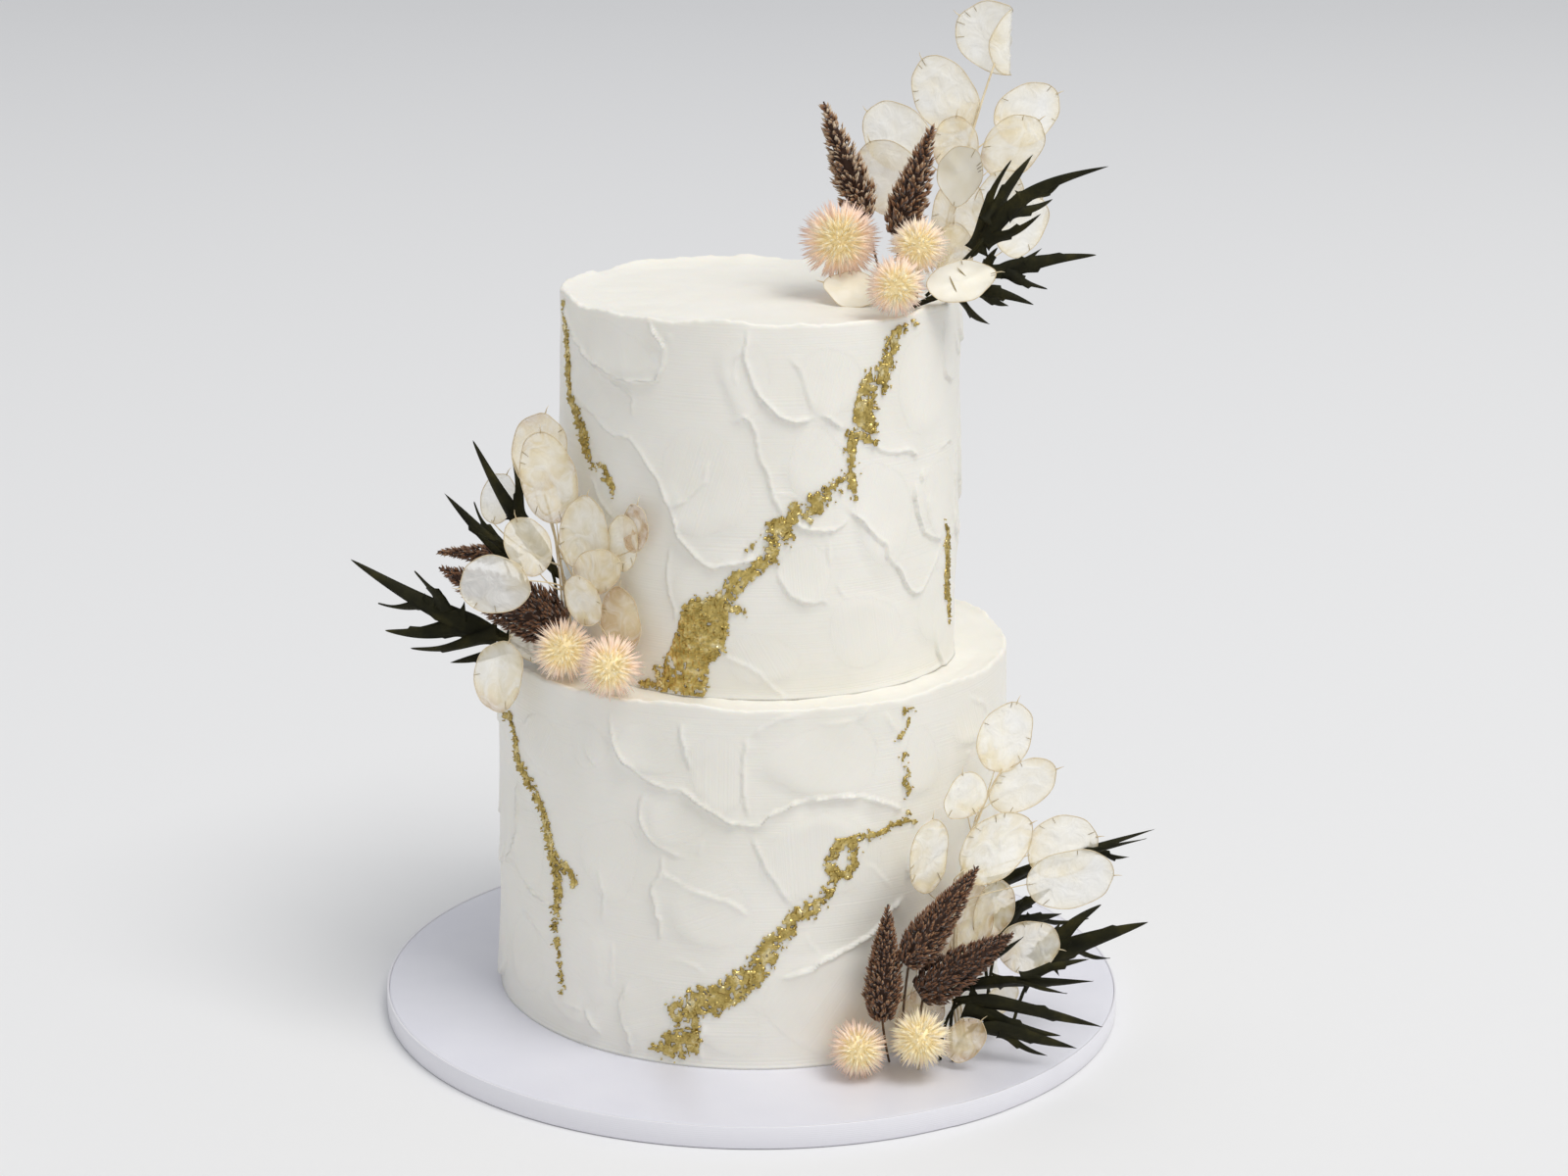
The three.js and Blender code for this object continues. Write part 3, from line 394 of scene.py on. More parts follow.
BOTTOM_LIPS = [
    (2.1, [(4, 108.5), (0, 108.5), (-5, 109.5), (-10, 111), (-15, 114), (-19, 117), (-22, 119),
           (-27, 121.5), (-32, 122), (-38, 123), (-43, 125), (-47, 128), (-51, 131), (-54.5, 135),
           (-56.5, 139), (-57.5, 144), (-58, 149)]),
    (1.4, [(-22.5, 130), (-24, 132), (-26, 137), (-27.5, 143), (-28.5, 150)]),
    (1.2, [(-0.5, 112), (-2, 116), (-3, 122), (-3.5, 130), (-3, 138), (-2, 145)]),
    (1.0, [(-1, 145), (6, 150), (11, 152.5), (20, 154)]),
    (1.1, [(16.5, 76), (14, 79), (10, 85), (6, 91), (3, 98), (0, 105.5)]),
    (2.1, [(0, 108.5), (3, 110.5), (7, 113.5), (12, 116), (17, 118.5), (23, 120), (30, 120), (37, 119.8),
           (43, 118.8), (48, 117.5), (53, 115.5), (58, 113), (63, 110)]),
    (1.5, [(-25, 94.5), (-31, 96), (-36, 98), (-40, 101), (-43, 105), (-44.5, 110), (-44, 116), (-42, 120)]),
    (0.8, [(-18, 104), (-20, 95)]),
    (1.6, [(-36, 60), (-36.5, 64), (-36.5, 68.5), (-38, 70), (-38.5, 75), (-39.5, 82), (-36, 86), (-35, 91),
           (-36, 96)]),
    (1.0, [(-35, 91), (-33, 87.5), (-28, 85), (-22, 82.5), (-15, 80.5), (-9, 78.5), (-4, 76), (0, 73)]),
    (0.6, [(-33, 53), (-29, 53.5), (-22, 52), (-19, 50), (-17, 48)]),
    (1.2, [(-56.5, 57), (-56.5, 50), (-57, 36)]),
    (1.6, [(-48.5, 10), (-49, 13), (-49.5, 18), (-52, 21), (-53.5, 25), (-54, 30), (-52.5, 34), (-50, 41)]),
    (1.6, [(-62, 14), (-65, 17), (-69, 21), (-71, 25)]),
    (1.0, [(-71, 23), (-85, 23.5)]),
    (1.8, [(-91, 62), (-100, 63), (-105, 64.5), (-110, 67), (-120, 70), (-131, 70)]),
    (2.0, [(-131, 70), (-122, 76), (-117, 81), (-114.5, 86), (-115, 92), (-117.5, 102), (-118, 106)]),
    (0.9, [(-88, 43.5), (-92, 45), (-98, 48), (-102, 50.5), (-112, 52.5)]),
    (0.8, [(-103, 56.5), (-106, 55), (-112, 52.5)]),
    (0.8, [(-111, 132), (-108, 134), (-105, 137), (-101, 139.5)]),
    (0.8, [(-62, 125), (-67, 129), (-71, 134)]),
    (1.9, [(12, 47.5), (18, 48.5), (25, 50), (27, 53), (32, 54.5), (37, 56.5), (43, 59), (48, 61), (54, 66),
           (59, 71), (64, 74)]),
    (0.7, [(22, 66), (25, 59), (29, 55)]),
    (0.7, [(45, 91), (50, 89), (53, 86), (56, 82), (59, 79)]),
    (2.4, [(66, 80), (66.5, 88), (67.5, 92), (70, 96), (73, 99), (77.5, 103.5)]),
    (1.2, [(100, 149), (105, 146), (110, 143.5), (115, 140), (117, 137.5)]),
    (0.8, [(53, 152.5), (56, 148), (60, 142)]),
    (0.8, [(41.5, 149), (44, 152.5), (47, 154)]),
    (0.8, [(98.5, 126), (104, 124.5)]),
    (1.3, [(-18, 10.5), (-20, 15), (-19.5, 21), (-18, 28)]),
    (0.7, [(26, 149.3), (34, 149), (41, 149.3)]),
    (0.8, [(-62, 62), (-61, 74), (-64, 86)]),
]


def seeded_random(seed):
    """The same draws each run, from 0 to 1."""
    multiplier, modulus = 16807, 2 ** 31 - 1
    state = seed
    while True:
        state = (state * multiplier) % modulus
        yield state / modulus


def torn(angle, seed):
    """How high the torn rim stands at an angle, from about 0 to 1."""
    return (0.5 + 0.2 * np.sin(5 * angle + seed) + 0.17 * np.sin(11 * angle + 2 * seed)
            + 0.13 * np.sin(17 * angle + 3 * seed))


def smooth(value, low, high):
    """0 below low, 1 above high and smooth between."""
    share = np.clip((value - low) / (high - low), 0.0, 1.0)
    return share * share * (3 - 2 * share)


def scattered_dabs(tier):
    """Rows of seeded dabs round the sides and back, shingled over each other."""
    draw = seeded_random(tier["seed"])
    dabs = []
    pitch, row_height = 60, 66
    height = tier["foot"] + 36
    while height < tier["top"] - 8:
        place = tier["shown"] * 1.35 + pitch * next(draw)
        while place < tier["shown"] * 4.9:
            dabs.append((place, height + 18 * (next(draw) - 0.5), 25 + 8 * next(draw), 27 + 9 * next(draw),
                         60 * (next(draw) - 0.5), 1.2 + 1.2 * next(draw), 200 + 90 * next(draw)))
            place += pitch
        height += row_height
    return dabs


def under_dabs(tier):
    """Smaller seeded dabs round the sides and back, laid first, that show between the large ones."""
    draw = np.random.default_rng(tier["seed"])
    first, last = 1.4 * tier["shown"], 4.88 * tier["shown"]
    tall = tier["top"] - tier["foot"]
    room = 700
    return [(draw.uniform(first, last), tier["foot"] + draw.uniform(0.02, 1.0) * tall,
             draw.uniform(14, 26), draw.uniform(13, 24), draw.uniform(-35, 35), draw.uniform(0.7, 1.6),
             draw.uniform(190, 300)) for _ in range(int((last - first) * tall / room))]


def lay_dab(wall, dab, crisp):
    """Lay one dab of the knife over the icing; crisp is how sharp its own edge is, from 0 to 1."""
    place, height, across, along, tilt, lift, lip_at = dab
    around = 2 * math.pi * wall["tier"]["shown"]
    off = (wall["s"] - place + around / 2) % around - around / 2
    spread = 1.5 * max(across, along)
    near = (np.abs(off) < spread) & (np.abs(wall["z"] - height) < spread)
    if not near.any():
        return
    off = off[near]
    rise = wall["z"][near] - height
    lean, lip = math.radians(tilt), math.radians(lip_at)
    u = off * math.cos(lean) - rise * math.sin(lean)
    v = off * math.sin(lean) + rise * math.cos(lean)
    angle = np.arctan2(v / along, u / across)
    far = place + 0 * off
    ragged = 1 + 0.08 * np.sin(3 * angle + place)
    ragged += 0.05 * lumps(off / 9, rise / 9, far, 5) + 0.02 * lumps(off / 3.5, rise / 3.5, far, 6)
    reach = np.hypot(u / across, v / along) / ragged
    facing = np.maximum(0, np.cos(angle - lip)) ** 0.8
    size = 0.5 * (across + along)
    inside = (1 - reach) * size
    sharp = crisp * facing
    feather = smooth(inside, 0.0, 1.1 + (1 - sharp) * 0.42 * size)
    toward = (u / across) * math.cos(lip) + (v / along) * math.sin(lip)
    plate = lift * (0.1 + 0.6 * smooth(toward, -0.6, 1.0) ** 1.5)
    crest = 0.5 * lift * sharp * np.exp(-np.maximum(inside, 0) / 2.2)
    across_pull = -u * math.sin(lip) + v * math.cos(lip)
    streak = 0.035 * lumps(across_pull / 2.2, toward * 0.8, far, 7)
    old = wall["out"][near]
    new = OLD_ICING * old + plate + crest + streak
    wall["out"][near] = old + (new - old) * feather
    wall["grain"][near] = np.where(feather > 0.5, across_pull + 40 * (place % 7), wall["grain"][near])


def raise_lip(wall, height, places, soft):
    """Raise a crisp lip along a line: a slope up to it on its right, and a drop on its left."""
    around = 2 * math.pi * wall["tier"]["shown"]
    middle = (places.max(axis=0) + places.min(axis=0)) / 2
    off = (wall["s"] - middle[0] + around / 2) % around - around / 2
    rise = wall["z"] - middle[1]
    half = np.abs(places - middle).max(axis=0) + 4 * LIP_SLOPE
    near = (np.abs(off) < half[0]) & (np.abs(rise) < half[1])
    if not near.any():
        return
    s, z = off[near] + middle[0], rise[near] + middle[1]
    wobble = 0.4 * lumps(s / 4.1, z / 4.1, 0 * s + height, 9) + 0.25 * lumps(s / 1.7, z / 1.7, 0 * s, 10)
    steps = np.hypot(*np.diff(places, axis=0).T)
    along = np.concatenate([[0], np.cumsum(steps)])
    best = np.full(s.shape, 1e9)
    side = np.zeros(s.shape)
    share = np.zeros(s.shape)
    for i, step in enumerate(steps):
        direction = (places[i + 1] - places[i]) / step
        ds, dz = s - places[i, 0], z - places[i, 1]
        run = np.clip(ds * direction[0] + dz * direction[1], 0, step)
        gap = np.hypot(ds - run * direction[0], dz - run * direction[1])
        closer = gap < best
        best = np.where(closer, gap, best)
        side = np.where(closer, ds * direction[1] - dz * direction[0], side)
        share = np.where(closer, (along[i] + run) / along[-1], share)
    signed = np.where(side > 0, best, -best) + wobble
    end_run = min(0.4, 5.0 / along[-1])
    ends = smooth(share, -0.02, end_run) * smooth(1 - share, -0.02, end_run)
    uneven = 1.0 + 0.35 * lumps(along[-1] * share / 6, 0 * share, 0 * share + places[0, 0], 11)
    rising = np.maximum(signed, 0)
    slope = 0.5 * np.exp(-rising / LIP_SLOPE) + 0.5 * np.exp(-(rising / LIP_BEAD / soft) ** 2)
    drop = smooth(signed, -0.45 * soft, 0.3 * soft)
    wall["out"][near] += height * ends * uneven * slope * drop


def icing_wall(tier, dabs, lips, front_step, back_step):
    """How far the icing stands off the tier's wall, on a grid that is finer at the front."""
    shown = tier["shown"]
    front_half = FRONT_REACH * shown
    front = np.linspace(-front_half, front_half, int(2 * front_half / front_step))
    back_length = 2 * math.pi * shown - 2 * front_half
    back = np.linspace(front_half, front_half + back_length, int(back_length / back_step))[1:-1]
    s = np.concatenate([front, back])
    angle = s / shown
    x, y = np.sin(angle), -np.cos(angle)
    lip = 2 * LIP_HEIGHT * torn(angle - math.pi / 2, tier["seed"])
    lip = lip + 0.5 * lumps(x * shown / 6.5, y * shown / 6.5, 0 * x, tier["seed"])
    lip = np.maximum(lip + 0.4 * lumps(x * shown / 2.2, y * shown / 2.2, 0 * x, tier["seed"] + 1), 0.25)
    crest = tier["top"] + lip
    rows = int((tier["top"] - tier["foot"]) / front_step)
    share = np.linspace(0, 1, rows)[:, None]
    z = tier["foot"] + share * (crest - 1.0 - tier["foot"])[None, :]
    s = np.broadcast_to(s, z.shape).copy()
    x, y = np.broadcast_to(x, z.shape), np.broadcast_to(y, z.shape)
    wall = {"tier": tier, "s": s, "z": z, "x": x, "y": y, "crest": crest, "lip": lip, "grain": z.copy()}
    wall["out"] = 0.35 * lumps(x * shown / 34, y * shown / 34, z / 34, 3)
    for dab in under_dabs(tier) + scattered_dabs(tier):
        lay_dab(wall, dab, 1.0)
    for dab in dabs:
        lay_dab(wall, dab, 0.0)
    for height, path in lips:
        raise_lip(wall, height, np.array(path, dtype=float), 1.0)
        raise_lip(wall, height, np.array(path) + (math.pi * shown, 0.0), BACK_SOFTNESS)
    wall["out"] += 0.06 * lumps(x * shown / 6, y * shown / 6, z / 6, 4)
    wall["out"] += 0.7 * np.exp(-(z - tier["foot"]) / 0.9)
    return wall


def tier_mesh(wall, top_steps):
    """The closed body of a tier: its wall, the torn rim, and the top inside the rim."""
    tier = wall["tier"]
    columns = wall["s"].shape[1]
    x, y = wall["x"][0], wall["y"][0]
    rings = []

    def ring(reach, height):
        rings.append(np.stack([tier["x"] + reach * x, tier["y"] + reach * y,
                               np.broadcast_to(height, x.shape)], axis=-1))

    base = tier["radius"]
    ring(np.full(columns, base - 3.0), tier["foot"])
    for row in range(wall["s"].shape[0]):
        ring(base + wall["out"][row], wall["z"][row])
    # The torn rim is rounded over, and falls away to the top inside it.
    last = base + wall["out"][-1]
    for inward, drop in ((0.25, 0.45), (0.8, 0.05), (1.3, 0.0)):
        ring(last - inward, wall["crest"] - drop)
    for inward, share in ((2.0, 0.84), (3.0, 0.58), (4.4, 0.34), (6.3, 0.14), (8.6, 0.03)):
        ring(last - inward, tier["top"] + share * wall["lip"])
    for reach in top_steps:
        swirl = 0.5 * lumps(reach * x / 14, reach * y / 14, 0 * x, 12)
        swirl += 0.18 * lumps(reach * x / 4, reach * y / 4, 0 * x, 13)
        ring(np.full(columns, reach), tier["top"] - TOP_SUNK + swirl)
    hubs = [[tier["x"], tier["y"], tier["foot"]], [tier["x"], tier["y"], tier["top"] - TOP_SUNK]]
    points = np.concatenate([*rings, hubs])
    grain = np.zeros(len(points))
    grain[columns:columns * (1 + wall["s"].shape[0])] = wall["grain"].ravel()
    return points, capped_faces(len(rings), columns), grain


# Whipped buttercream: warm white, satin and slightly see-through, so thin lips glow and shadows stay
# soft. The knife leaves fine streaks about 0.8 mm apart along its pull.
buttercream = new_finish(
    "whipped_buttercream", {"Roughness": 0.5, "IOR": 1.46, "Subsurface Weight": 0.25,
                            "Subsurface Radius": (1.0, 0.8, 0.55), "Subsurface Scale": 0.002},
    (22.0, 3.0), [(0.3, "#efece2"), (0.7, "#f5f2ea")])
tree = buttercream.node_tree
place = add_node(tree, "TexCoord")
grain = add_node(tree, "Attribute", {"attribute_name": "grain"})
pull = add_node(tree, "TexNoise", {"noise_dimensions": "1D", "Scale": 1.2, "Detail": 3.0},
                {"W": grain.outputs["Fac"]})
pores = add_node(tree, "TexNoise", {"Scale": 650.0, "Detail": 3.0}, {"Vector": place.outputs["Object"]})
both = add_node(tree, "Math", {"operation": "MULTIPLY_ADD", 1: 0.4},
                {0: pores.outputs["Fac"], 2: pull.outputs["Fac"]})
relief = add_node(tree, "Bump", {"Strength": 0.35, "Distance": 0.0003}, {"Height": both.outputs["Value"]})
tree.links.new(relief.outputs["Normal"], tree.nodes["Principled BSDF"].inputs["Normal"])

walls = {}
for name, tier, dabs, lips, steps, top_steps in (
        ("bottom_tier", BOTTOM, BOTTOM_DABS, BOTTOM_LIPS, (0.84, 2.4),
         [*np.linspace(93.5, 76, 11), 60, 30]),
        ("top_tier", TOP, TOP_DABS, TOP_LIPS, (0.75, 2.05), np.linspace(69, 3, 23))):
    walls[name] = icing_wall(tier, dabs, lips, *steps)
    points, faces, grain_values = tier_mesh(walls[name], top_steps)
    icing = make_piece(name + "_icing", points, faces, [buttercream], tones={"grain": grain_values})
    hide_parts(name)

# Gold leaf
# Sheets of edible gold leaf pressed on the soft icing in veins. The leaf is thinner than a hair, so
# it tears into ragged scraps, crumples into wrinkles and lets the icing show through its holes.
LEAF_CELL = 0.42
LEAF_SUNK = 0.5

# The veins: places round the wall from the front to the right, heights, and widths.
TOP_VEINS = [
    [(66, 297.5, 1.5), (61, 296.5, 2), (57, 294.5, 4), (54, 290, 8), (52.5, 286, 7), (50.5, 281, 7),
     (50.5, 276, 6), (51, 272, 3)],
    [(44, 279.5, 3), (42.5, 275, 8), (42, 271, 8), (41, 267, 9), (41, 263, 9), (44, 259, 6)],
    [(44, 266, 4), (47.5, 265.5, 2)],
    [(44, 260, 5), (47.5, 258.5, 2)],
    [(37, 258, 3), (38, 255.5, 6), (42, 255, 4), (47, 252, 2)],
    [(36, 253, 6), (36, 248, 5), (36, 244, 4.5), (36.5, 239, 5), (37.5, 234, 3), (38.5, 231.5, 1.5)],
    [(34, 240, 3), (30, 238.5, 3), (28, 235, 6), (22.5, 232, 9), (20, 226.5, 6), (17, 226, 5),
     (13.5, 229, 6), (12, 225, 6), (8, 221.5, 10), (13, 216.5, 3)],
    [(8, 222, 8), (4, 219, 5), (5, 214, 6), (6, 210, 4)],
    [(-1, 216, 1.5), (-5, 213, 1.5)],
    [(4, 211, 4), (0, 207, 6), (-3, 204, 6), (-8, 201, 9), (-12, 196, 7), (-16, 191, 9), (-20, 185, 18),
     (-22, 178, 20)],
    [(-12, 191, 5), (-5.5, 189, 2)],
    [(-24, 187, 8), (-29, 189, 3)],
    [(-21, 184, 20), (-23, 178, 20), (-27, 170, 18), (-29, 164, 19), (-30, 156, 20)],
    [(-49, 156, 2), (-40, 157, 4), (-42, 164, 3)],
    [(-104, 297, 5), (-101, 280, 6), (-98, 273, 7), (-97, 262, 7), (-90, 257, 6), (-86, 252, 6),
     (-82, 248, 6), (-80, 244, 6), (-78, 240, 5), (-74, 238, 3), (-70, 239, 3), (-67, 237, 4),
     (-64.5, 233, 3), (-62.5, 229.5, 1.5)],
    [(92, 212, 2), (95, 209.5, 4), (97, 204, 7), (98, 195, 6), (97, 188, 6), (98, 182, 5), (101, 175, 4),
     (101, 169, 2)],
    [(205, 292, 5), (220, 252, 6), (238, 232, 9), (258, 196, 4)],
]
BOTTOM_VEINS = [
    [(-135, 130, 2), (-124, 132, 4), (-118, 124, 5), (-117, 116, 5), (-108, 111, 5), (-99, 105, 5),
     (-94, 97, 5), (-91, 88, 5.5), (-87, 81, 7), (-86, 70, 5), (-87, 62, 4), (-88, 54, 4), (-86, 46, 3),
     (-84.5, 38, 2.5), (-83.5, 32, 2), (-84, 27, 1)],
    [(-83, 81, 6), (-79, 81, 4), (-76, 77, 3), (-77.5, 73.5, 2)],
    [(69.5, 104.5, 1.5), (64, 105, 2), (58, 105, 3.5), (53, 102.5, 2.5), (46, 102.5, 3.5), (40, 102, 4),
     (35, 101, 5.5), (31, 93, 5), (33, 88, 5.5), (38, 87.5, 4.5), (41, 92, 5.5), (41, 97, 4.5),
     (38, 101, 4)],
    [(33, 88, 5), (32, 83, 5.5), (29, 79.5, 6), (23, 74, 7), (17, 72, 6), (14, 66, 9), (8, 62, 7),
     (7, 57, 9), (2, 50, 9), (2, 45, 6)],
    [(-3, 46, 9), (-7, 42, 13), (-14, 38, 12), (-21, 36, 12), (-28, 31, 9)],
    [(-21, 32, 4), (-21, 24, 4), (-22, 17, 7)],
    [(-24, 21, 9), (-29, 18, 13), (-34, 15, 6), (-38, 15, 3)],
    [(68, 151, 1.2), (62.5, 150, 1.8)],
    [(65, 146, 1.5), (63.5, 142, 1.8), (60, 139, 2)],
    [(64.5, 136, 1.2), (62.5, 130.5, 1.6)],
    [(64.5, 128, 1.2), (64, 121, 2), (66, 117, 1.3)],
    [(63.5, 113, 0.8), (66.5, 108, 1.2)],
    [(262, 148, 6), (280, 112, 8), (300, 92, 10), (322, 52, 4)],
]


def icing_out(wall, s, z):
    """How far the icing stands off the wall at any place."""
    row_s = wall["s"][0]
    around = 2 * math.pi * wall["tier"]["shown"]
    start = row_s[0]
    column = np.interp((s - start) % around, row_s - start, np.arange(len(row_s)), right=len(row_s) - 1)
    left = column.astype(int)
    right = (left + 1) % len(row_s)
    part = column - left
    rows = wall["s"].shape[0]
    foot = wall["tier"]["foot"]
    top = wall["crest"][left] - 1.0
    row = np.clip((z - foot) / (top - foot) * (rows - 1), 0, rows - 1.001)
    low = row.astype(int)
    up = row - low
    out = wall["out"]
    return ((out[low, left] * (1 - part) + out[low, right] * part) * (1 - up)
            + (out[low + 1, left] * (1 - part) + out[low + 1, right] * part) * up)


def vein_depth(s, z, path):
    """How deep a place lies inside a vein, in mm; below 0 it is outside."""
    deepest = np.full(s.shape, -1e9)
    for (s0, z0, w0), (s1, z1, w1) in zip(path, path[1:]):
        length = math.hypot(s1 - s0, z1 - z0)
        share = np.clip(((s - s0) * (s1 - s0) + (z - z0) * (z1 - z0)) / length ** 2, 0, 1)
        gap = np.hypot(s - s0 - share * (s1 - s0), z - z0 - share * (z1 - z0))
        deepest = np.maximum(deepest, 0.5 * (w0 + share * (w1 - w0)) - gap)
    return deepest


def leaf_mesh(wall, veins):
    """Closed scraps of crumpled leaf along the veins, sunk a little in the icing."""
    points, faces = [], []
    tier = wall["tier"]
    for number, path in enumerate(veins):
        places = np.array(path, dtype=float)
        pad = places[:, 2].max() + 4
        low = places[:, :2].min(axis=0) - pad
        high = places[:, :2].max(axis=0) + pad
        high[1] = min(high[1], tier["top"] - 0.5)
        low[1] = max(low[1], tier["foot"] + 0.4)
        s, z = np.meshgrid(np.arange(low[0], high[0], LEAF_CELL), np.arange(low[1], high[1], LEAF_CELL))
        far = 0 * s + 3.7 * number
        depth = vein_depth(s, z, path)
        tear = 0.9 * lumps(s / 2.6, z / 2.6, far, 21) + 1.5 * lumps(s / 1.1, z / 1.1, far, 22)
        holes = lumps(s / 1.7, z / 1.7, far, 23) + 0.7 * lumps(s / 0.85, z / 0.85, far, 24)
        fray = 0.75 - 0.55 * np.exp(-np.maximum(depth, 0) / 1.2)
        flecks = (lumps(s / 1.1, z / 1.1, far, 25) > 0.55) & (depth > -2.0)
        leaf = ((depth + tear > 0) & (holes < fray)) | flecks
        cells = leaf[:-1, :-1] & leaf[1:, :-1] & leaf[:-1, 1:] & leaf[1:, 1:]
        crossing = cells[:-1, :-1] & cells[1:, 1:] & ~cells[1:, :-1] & ~cells[:-1, 1:]
        cells[:-1, :-1] &= ~crossing
        crossing = ~cells[:-1, :-1] & ~cells[1:, 1:] & cells[1:, :-1] & cells[:-1, 1:]
        cells[1:, :-1] &= ~crossing
        crumple = 0.8 * np.abs(lumps(s / 1.6, z / 1.6, far, 26))
        crumple += 1.1 * np.abs(lumps(s / 0.9, z / 0.9, far, 27))
        out = icing_out(wall, s, z)
        angle = s / tier["shown"]
        corners = np.arange(s.size).reshape(s.shape)
        used = np.zeros(s.shape, bool)
        for i in (0, 1):
            for j in (0, 1):
                used[i:s.shape[0] - 1 + i, j:s.shape[1] - 1 + j] |= cells
        index = np.cumsum(used.ravel()).reshape(s.shape) - 1
        start = sum(len(block) for block in points)
        total = int(used.sum())
        for lift in (0.15 + crumple, -LEAF_SUNK + 0 * crumple):
            reach = tier["radius"] + out + lift
            block = round_z(reach, angle, z) + (tier["x"], tier["y"], 0.0)
            points.append(block[used])
        rows, columns = np.nonzero(cells)
        a, b = start + index[rows, columns], start + index[rows, columns + 1]
        c, d = start + index[rows + 1, columns + 1], start + index[rows + 1, columns]
        faces += np.stack([a, b, c, d], axis=-1).tolist()
        faces += (np.stack([d, c, b, a], axis=-1) + total).tolist()
        padded = np.pad(cells, 1)
        for step, first, second in (((0, 1), a, b), ((2, 1), c, d), ((1, 0), d, a), ((1, 2), b, c)):
            edge = ~padded[rows + step[0], columns + step[1]]
            faces += np.stack([first, first + total, second + total, second], axis=-1)[edge].tolist()
    return np.concatenate(points), faces


# Gold leaf, 23 carat: warm yellow metal that mirrors in hundreds of small facets; its colour also holds
# painted glints in pale patches beside painted olive shade.
gold_leaf = new_finish("gold_leaf_23_carat", {"Metallic": 1.0, "Roughness": 0.3}, (260.0, 3.0),
                       [(0.3, "#a48d4c"), (0.55, "#ccb56e"), (0.75, "#f2e5b8")])
tree = gold_leaf.node_tree
place = add_node(tree, "TexCoord")
facets = add_node(tree, "TexVoronoi", {"Scale": 700.0}, {"Vector": place.outputs["Object"]})
relief = add_node(tree, "Bump", {"Strength": 0.6, "Distance": 0.0005},
                  {"Height": facets.outputs["Distance"]})
tree.links.new(relief.outputs["Normal"], tree.nodes["Principled BSDF"].inputs["Normal"])

for name, veins in (("bottom_tier", BOTTOM_VEINS), ("top_tier", TOP_VEINS)):
    leaf = make_piece(name + "_gold_leaf", *leaf_mesh(walls[name], veins), [gold_leaf])

# Seed pods
# Dried honesty: the papery partition left of each pod, a pearly skin as thin as a petal in a fine
# wiry rim with the style as a spike at its tip. They stay on their own branching straw stems.
ON_DRUM = 9.6
ON_BOTTOM = BOTTOM["top"] + 0.6
ON_TOP = TOP["top"] + 0.6
STEM_DROP = 12
POD_SIDES = 44
POD_CUP = 0.9

# Each spray: where its main stem starts, bends and ends, and its pods. Each pod: middle, length,
# width, roll of the tip to the right, turn about z, lean, age from pearl to brown, and for some
# where along the main stem they leave it. From 2 up the age is that of a pod with its husk on.
TOP_FOLD_AT = 100.8
TOP_FOLD_ABOVE = 390
SPRAYS = {
    "top_pods": [(72, 6, ON_TOP), (78, 10, 345), (94, 32, 386), [
        ((94.5, 34, 395), 33.5, 27, -60, -10, 3, 0.05), ((74, 28, 373), 32, 24, -35, -10, -5, 0.15),
        ((55, 24, 357), 30, 25, -55, -20, -8, 0.2), ((107, 28, 366), 29, 23, 60, 18, -6, 0.15),
        ((101, 19, 354), 28, 23, 45, 15, 6, 0.3), ((78, 16, 355), 21, 18, 0, 0, 0, 0.4),
        ((79, -2, 345), 24, 18, 185, 5, 8, 2.3), ((52, 12, 342), 31, 26, -30, -15, 4, 0.3),
        ((79, 8, 328), 30, 21, 10, 5, -4, 0.5), ((95, 11, 334), 25, 18, 30, 10, 5, 0.3),
        ((105, 14, 323), 26, 20, 40, 20, -5, 0.2), ((77, 0, 315), 21, 16, 0, 0, 0, 0.4)]],
    "left_pods": [(-73, -44, ON_BOTTOM), (-73, -46, 195), (-82, -47, 226), [
        ((-84, -42, 242), 30, 24, 10, -24, 0, 0.45), ((-80, -50, 233), 36, 24, -8, -20, 5, 0.45),
        ((-66, -58, 213), 29, 22, 5, -28, 0, 0.35), ((-46, -71, 219), 19, 13, 8, -42, 0, 0.85),
        ((-51, -67, 212), 22, 16, 10, -42, 0, 0.3), ((-88, -54, 207), 23, 18, -25, -10, -8, 0.25),
        ((-100, -66, 195), 27, 24, -100, -8, 8, 0.0), ((-61, -64, 200), 23, 17, 65, -34, 0, 0.45),
        ((-66, -70, 190), 20, 16, -20, -30, 5, 0.3, 0.5), ((-52, -67, 181), 26, 20, 0, -38, 0, 0.6, 0.7),
        ((-103, -8, 215), 21, 15, 20, -20, 0, 0.1)]],
    "right_pods": [(84, -77, ON_DRUM), (70, -84, 80), (97, -66, 122), [
        ((98, -64, 134), 28, 23, 18, 20, 0, 0.15), ((106, -60, 113), 29, 21, 68, 20, 5, 0.15),
        ((82, -79, 115), 18, 21, -10, 35, 0, 0.2), ((95, -73, 92), 34, 26, 66, 28, -4, 0.25),
        ((122, -60, 88), 29, 25, 80, 15, -5, 0.15), ((125, -68, 77), 35, 26, 88, 12, 8, 0.05),
        ((68, -90, 94.5), 29, 20, 5, 40, 0, 0.25), ((83, -77, 61), 33, 29, 30, 36, 0, 0.7),
        ((95, -70, 65), 24, 19, 10, 28, 4, 0.5), ((109, -74, 51), 25, 22, 100, 15, 0, 0.35)]],
}
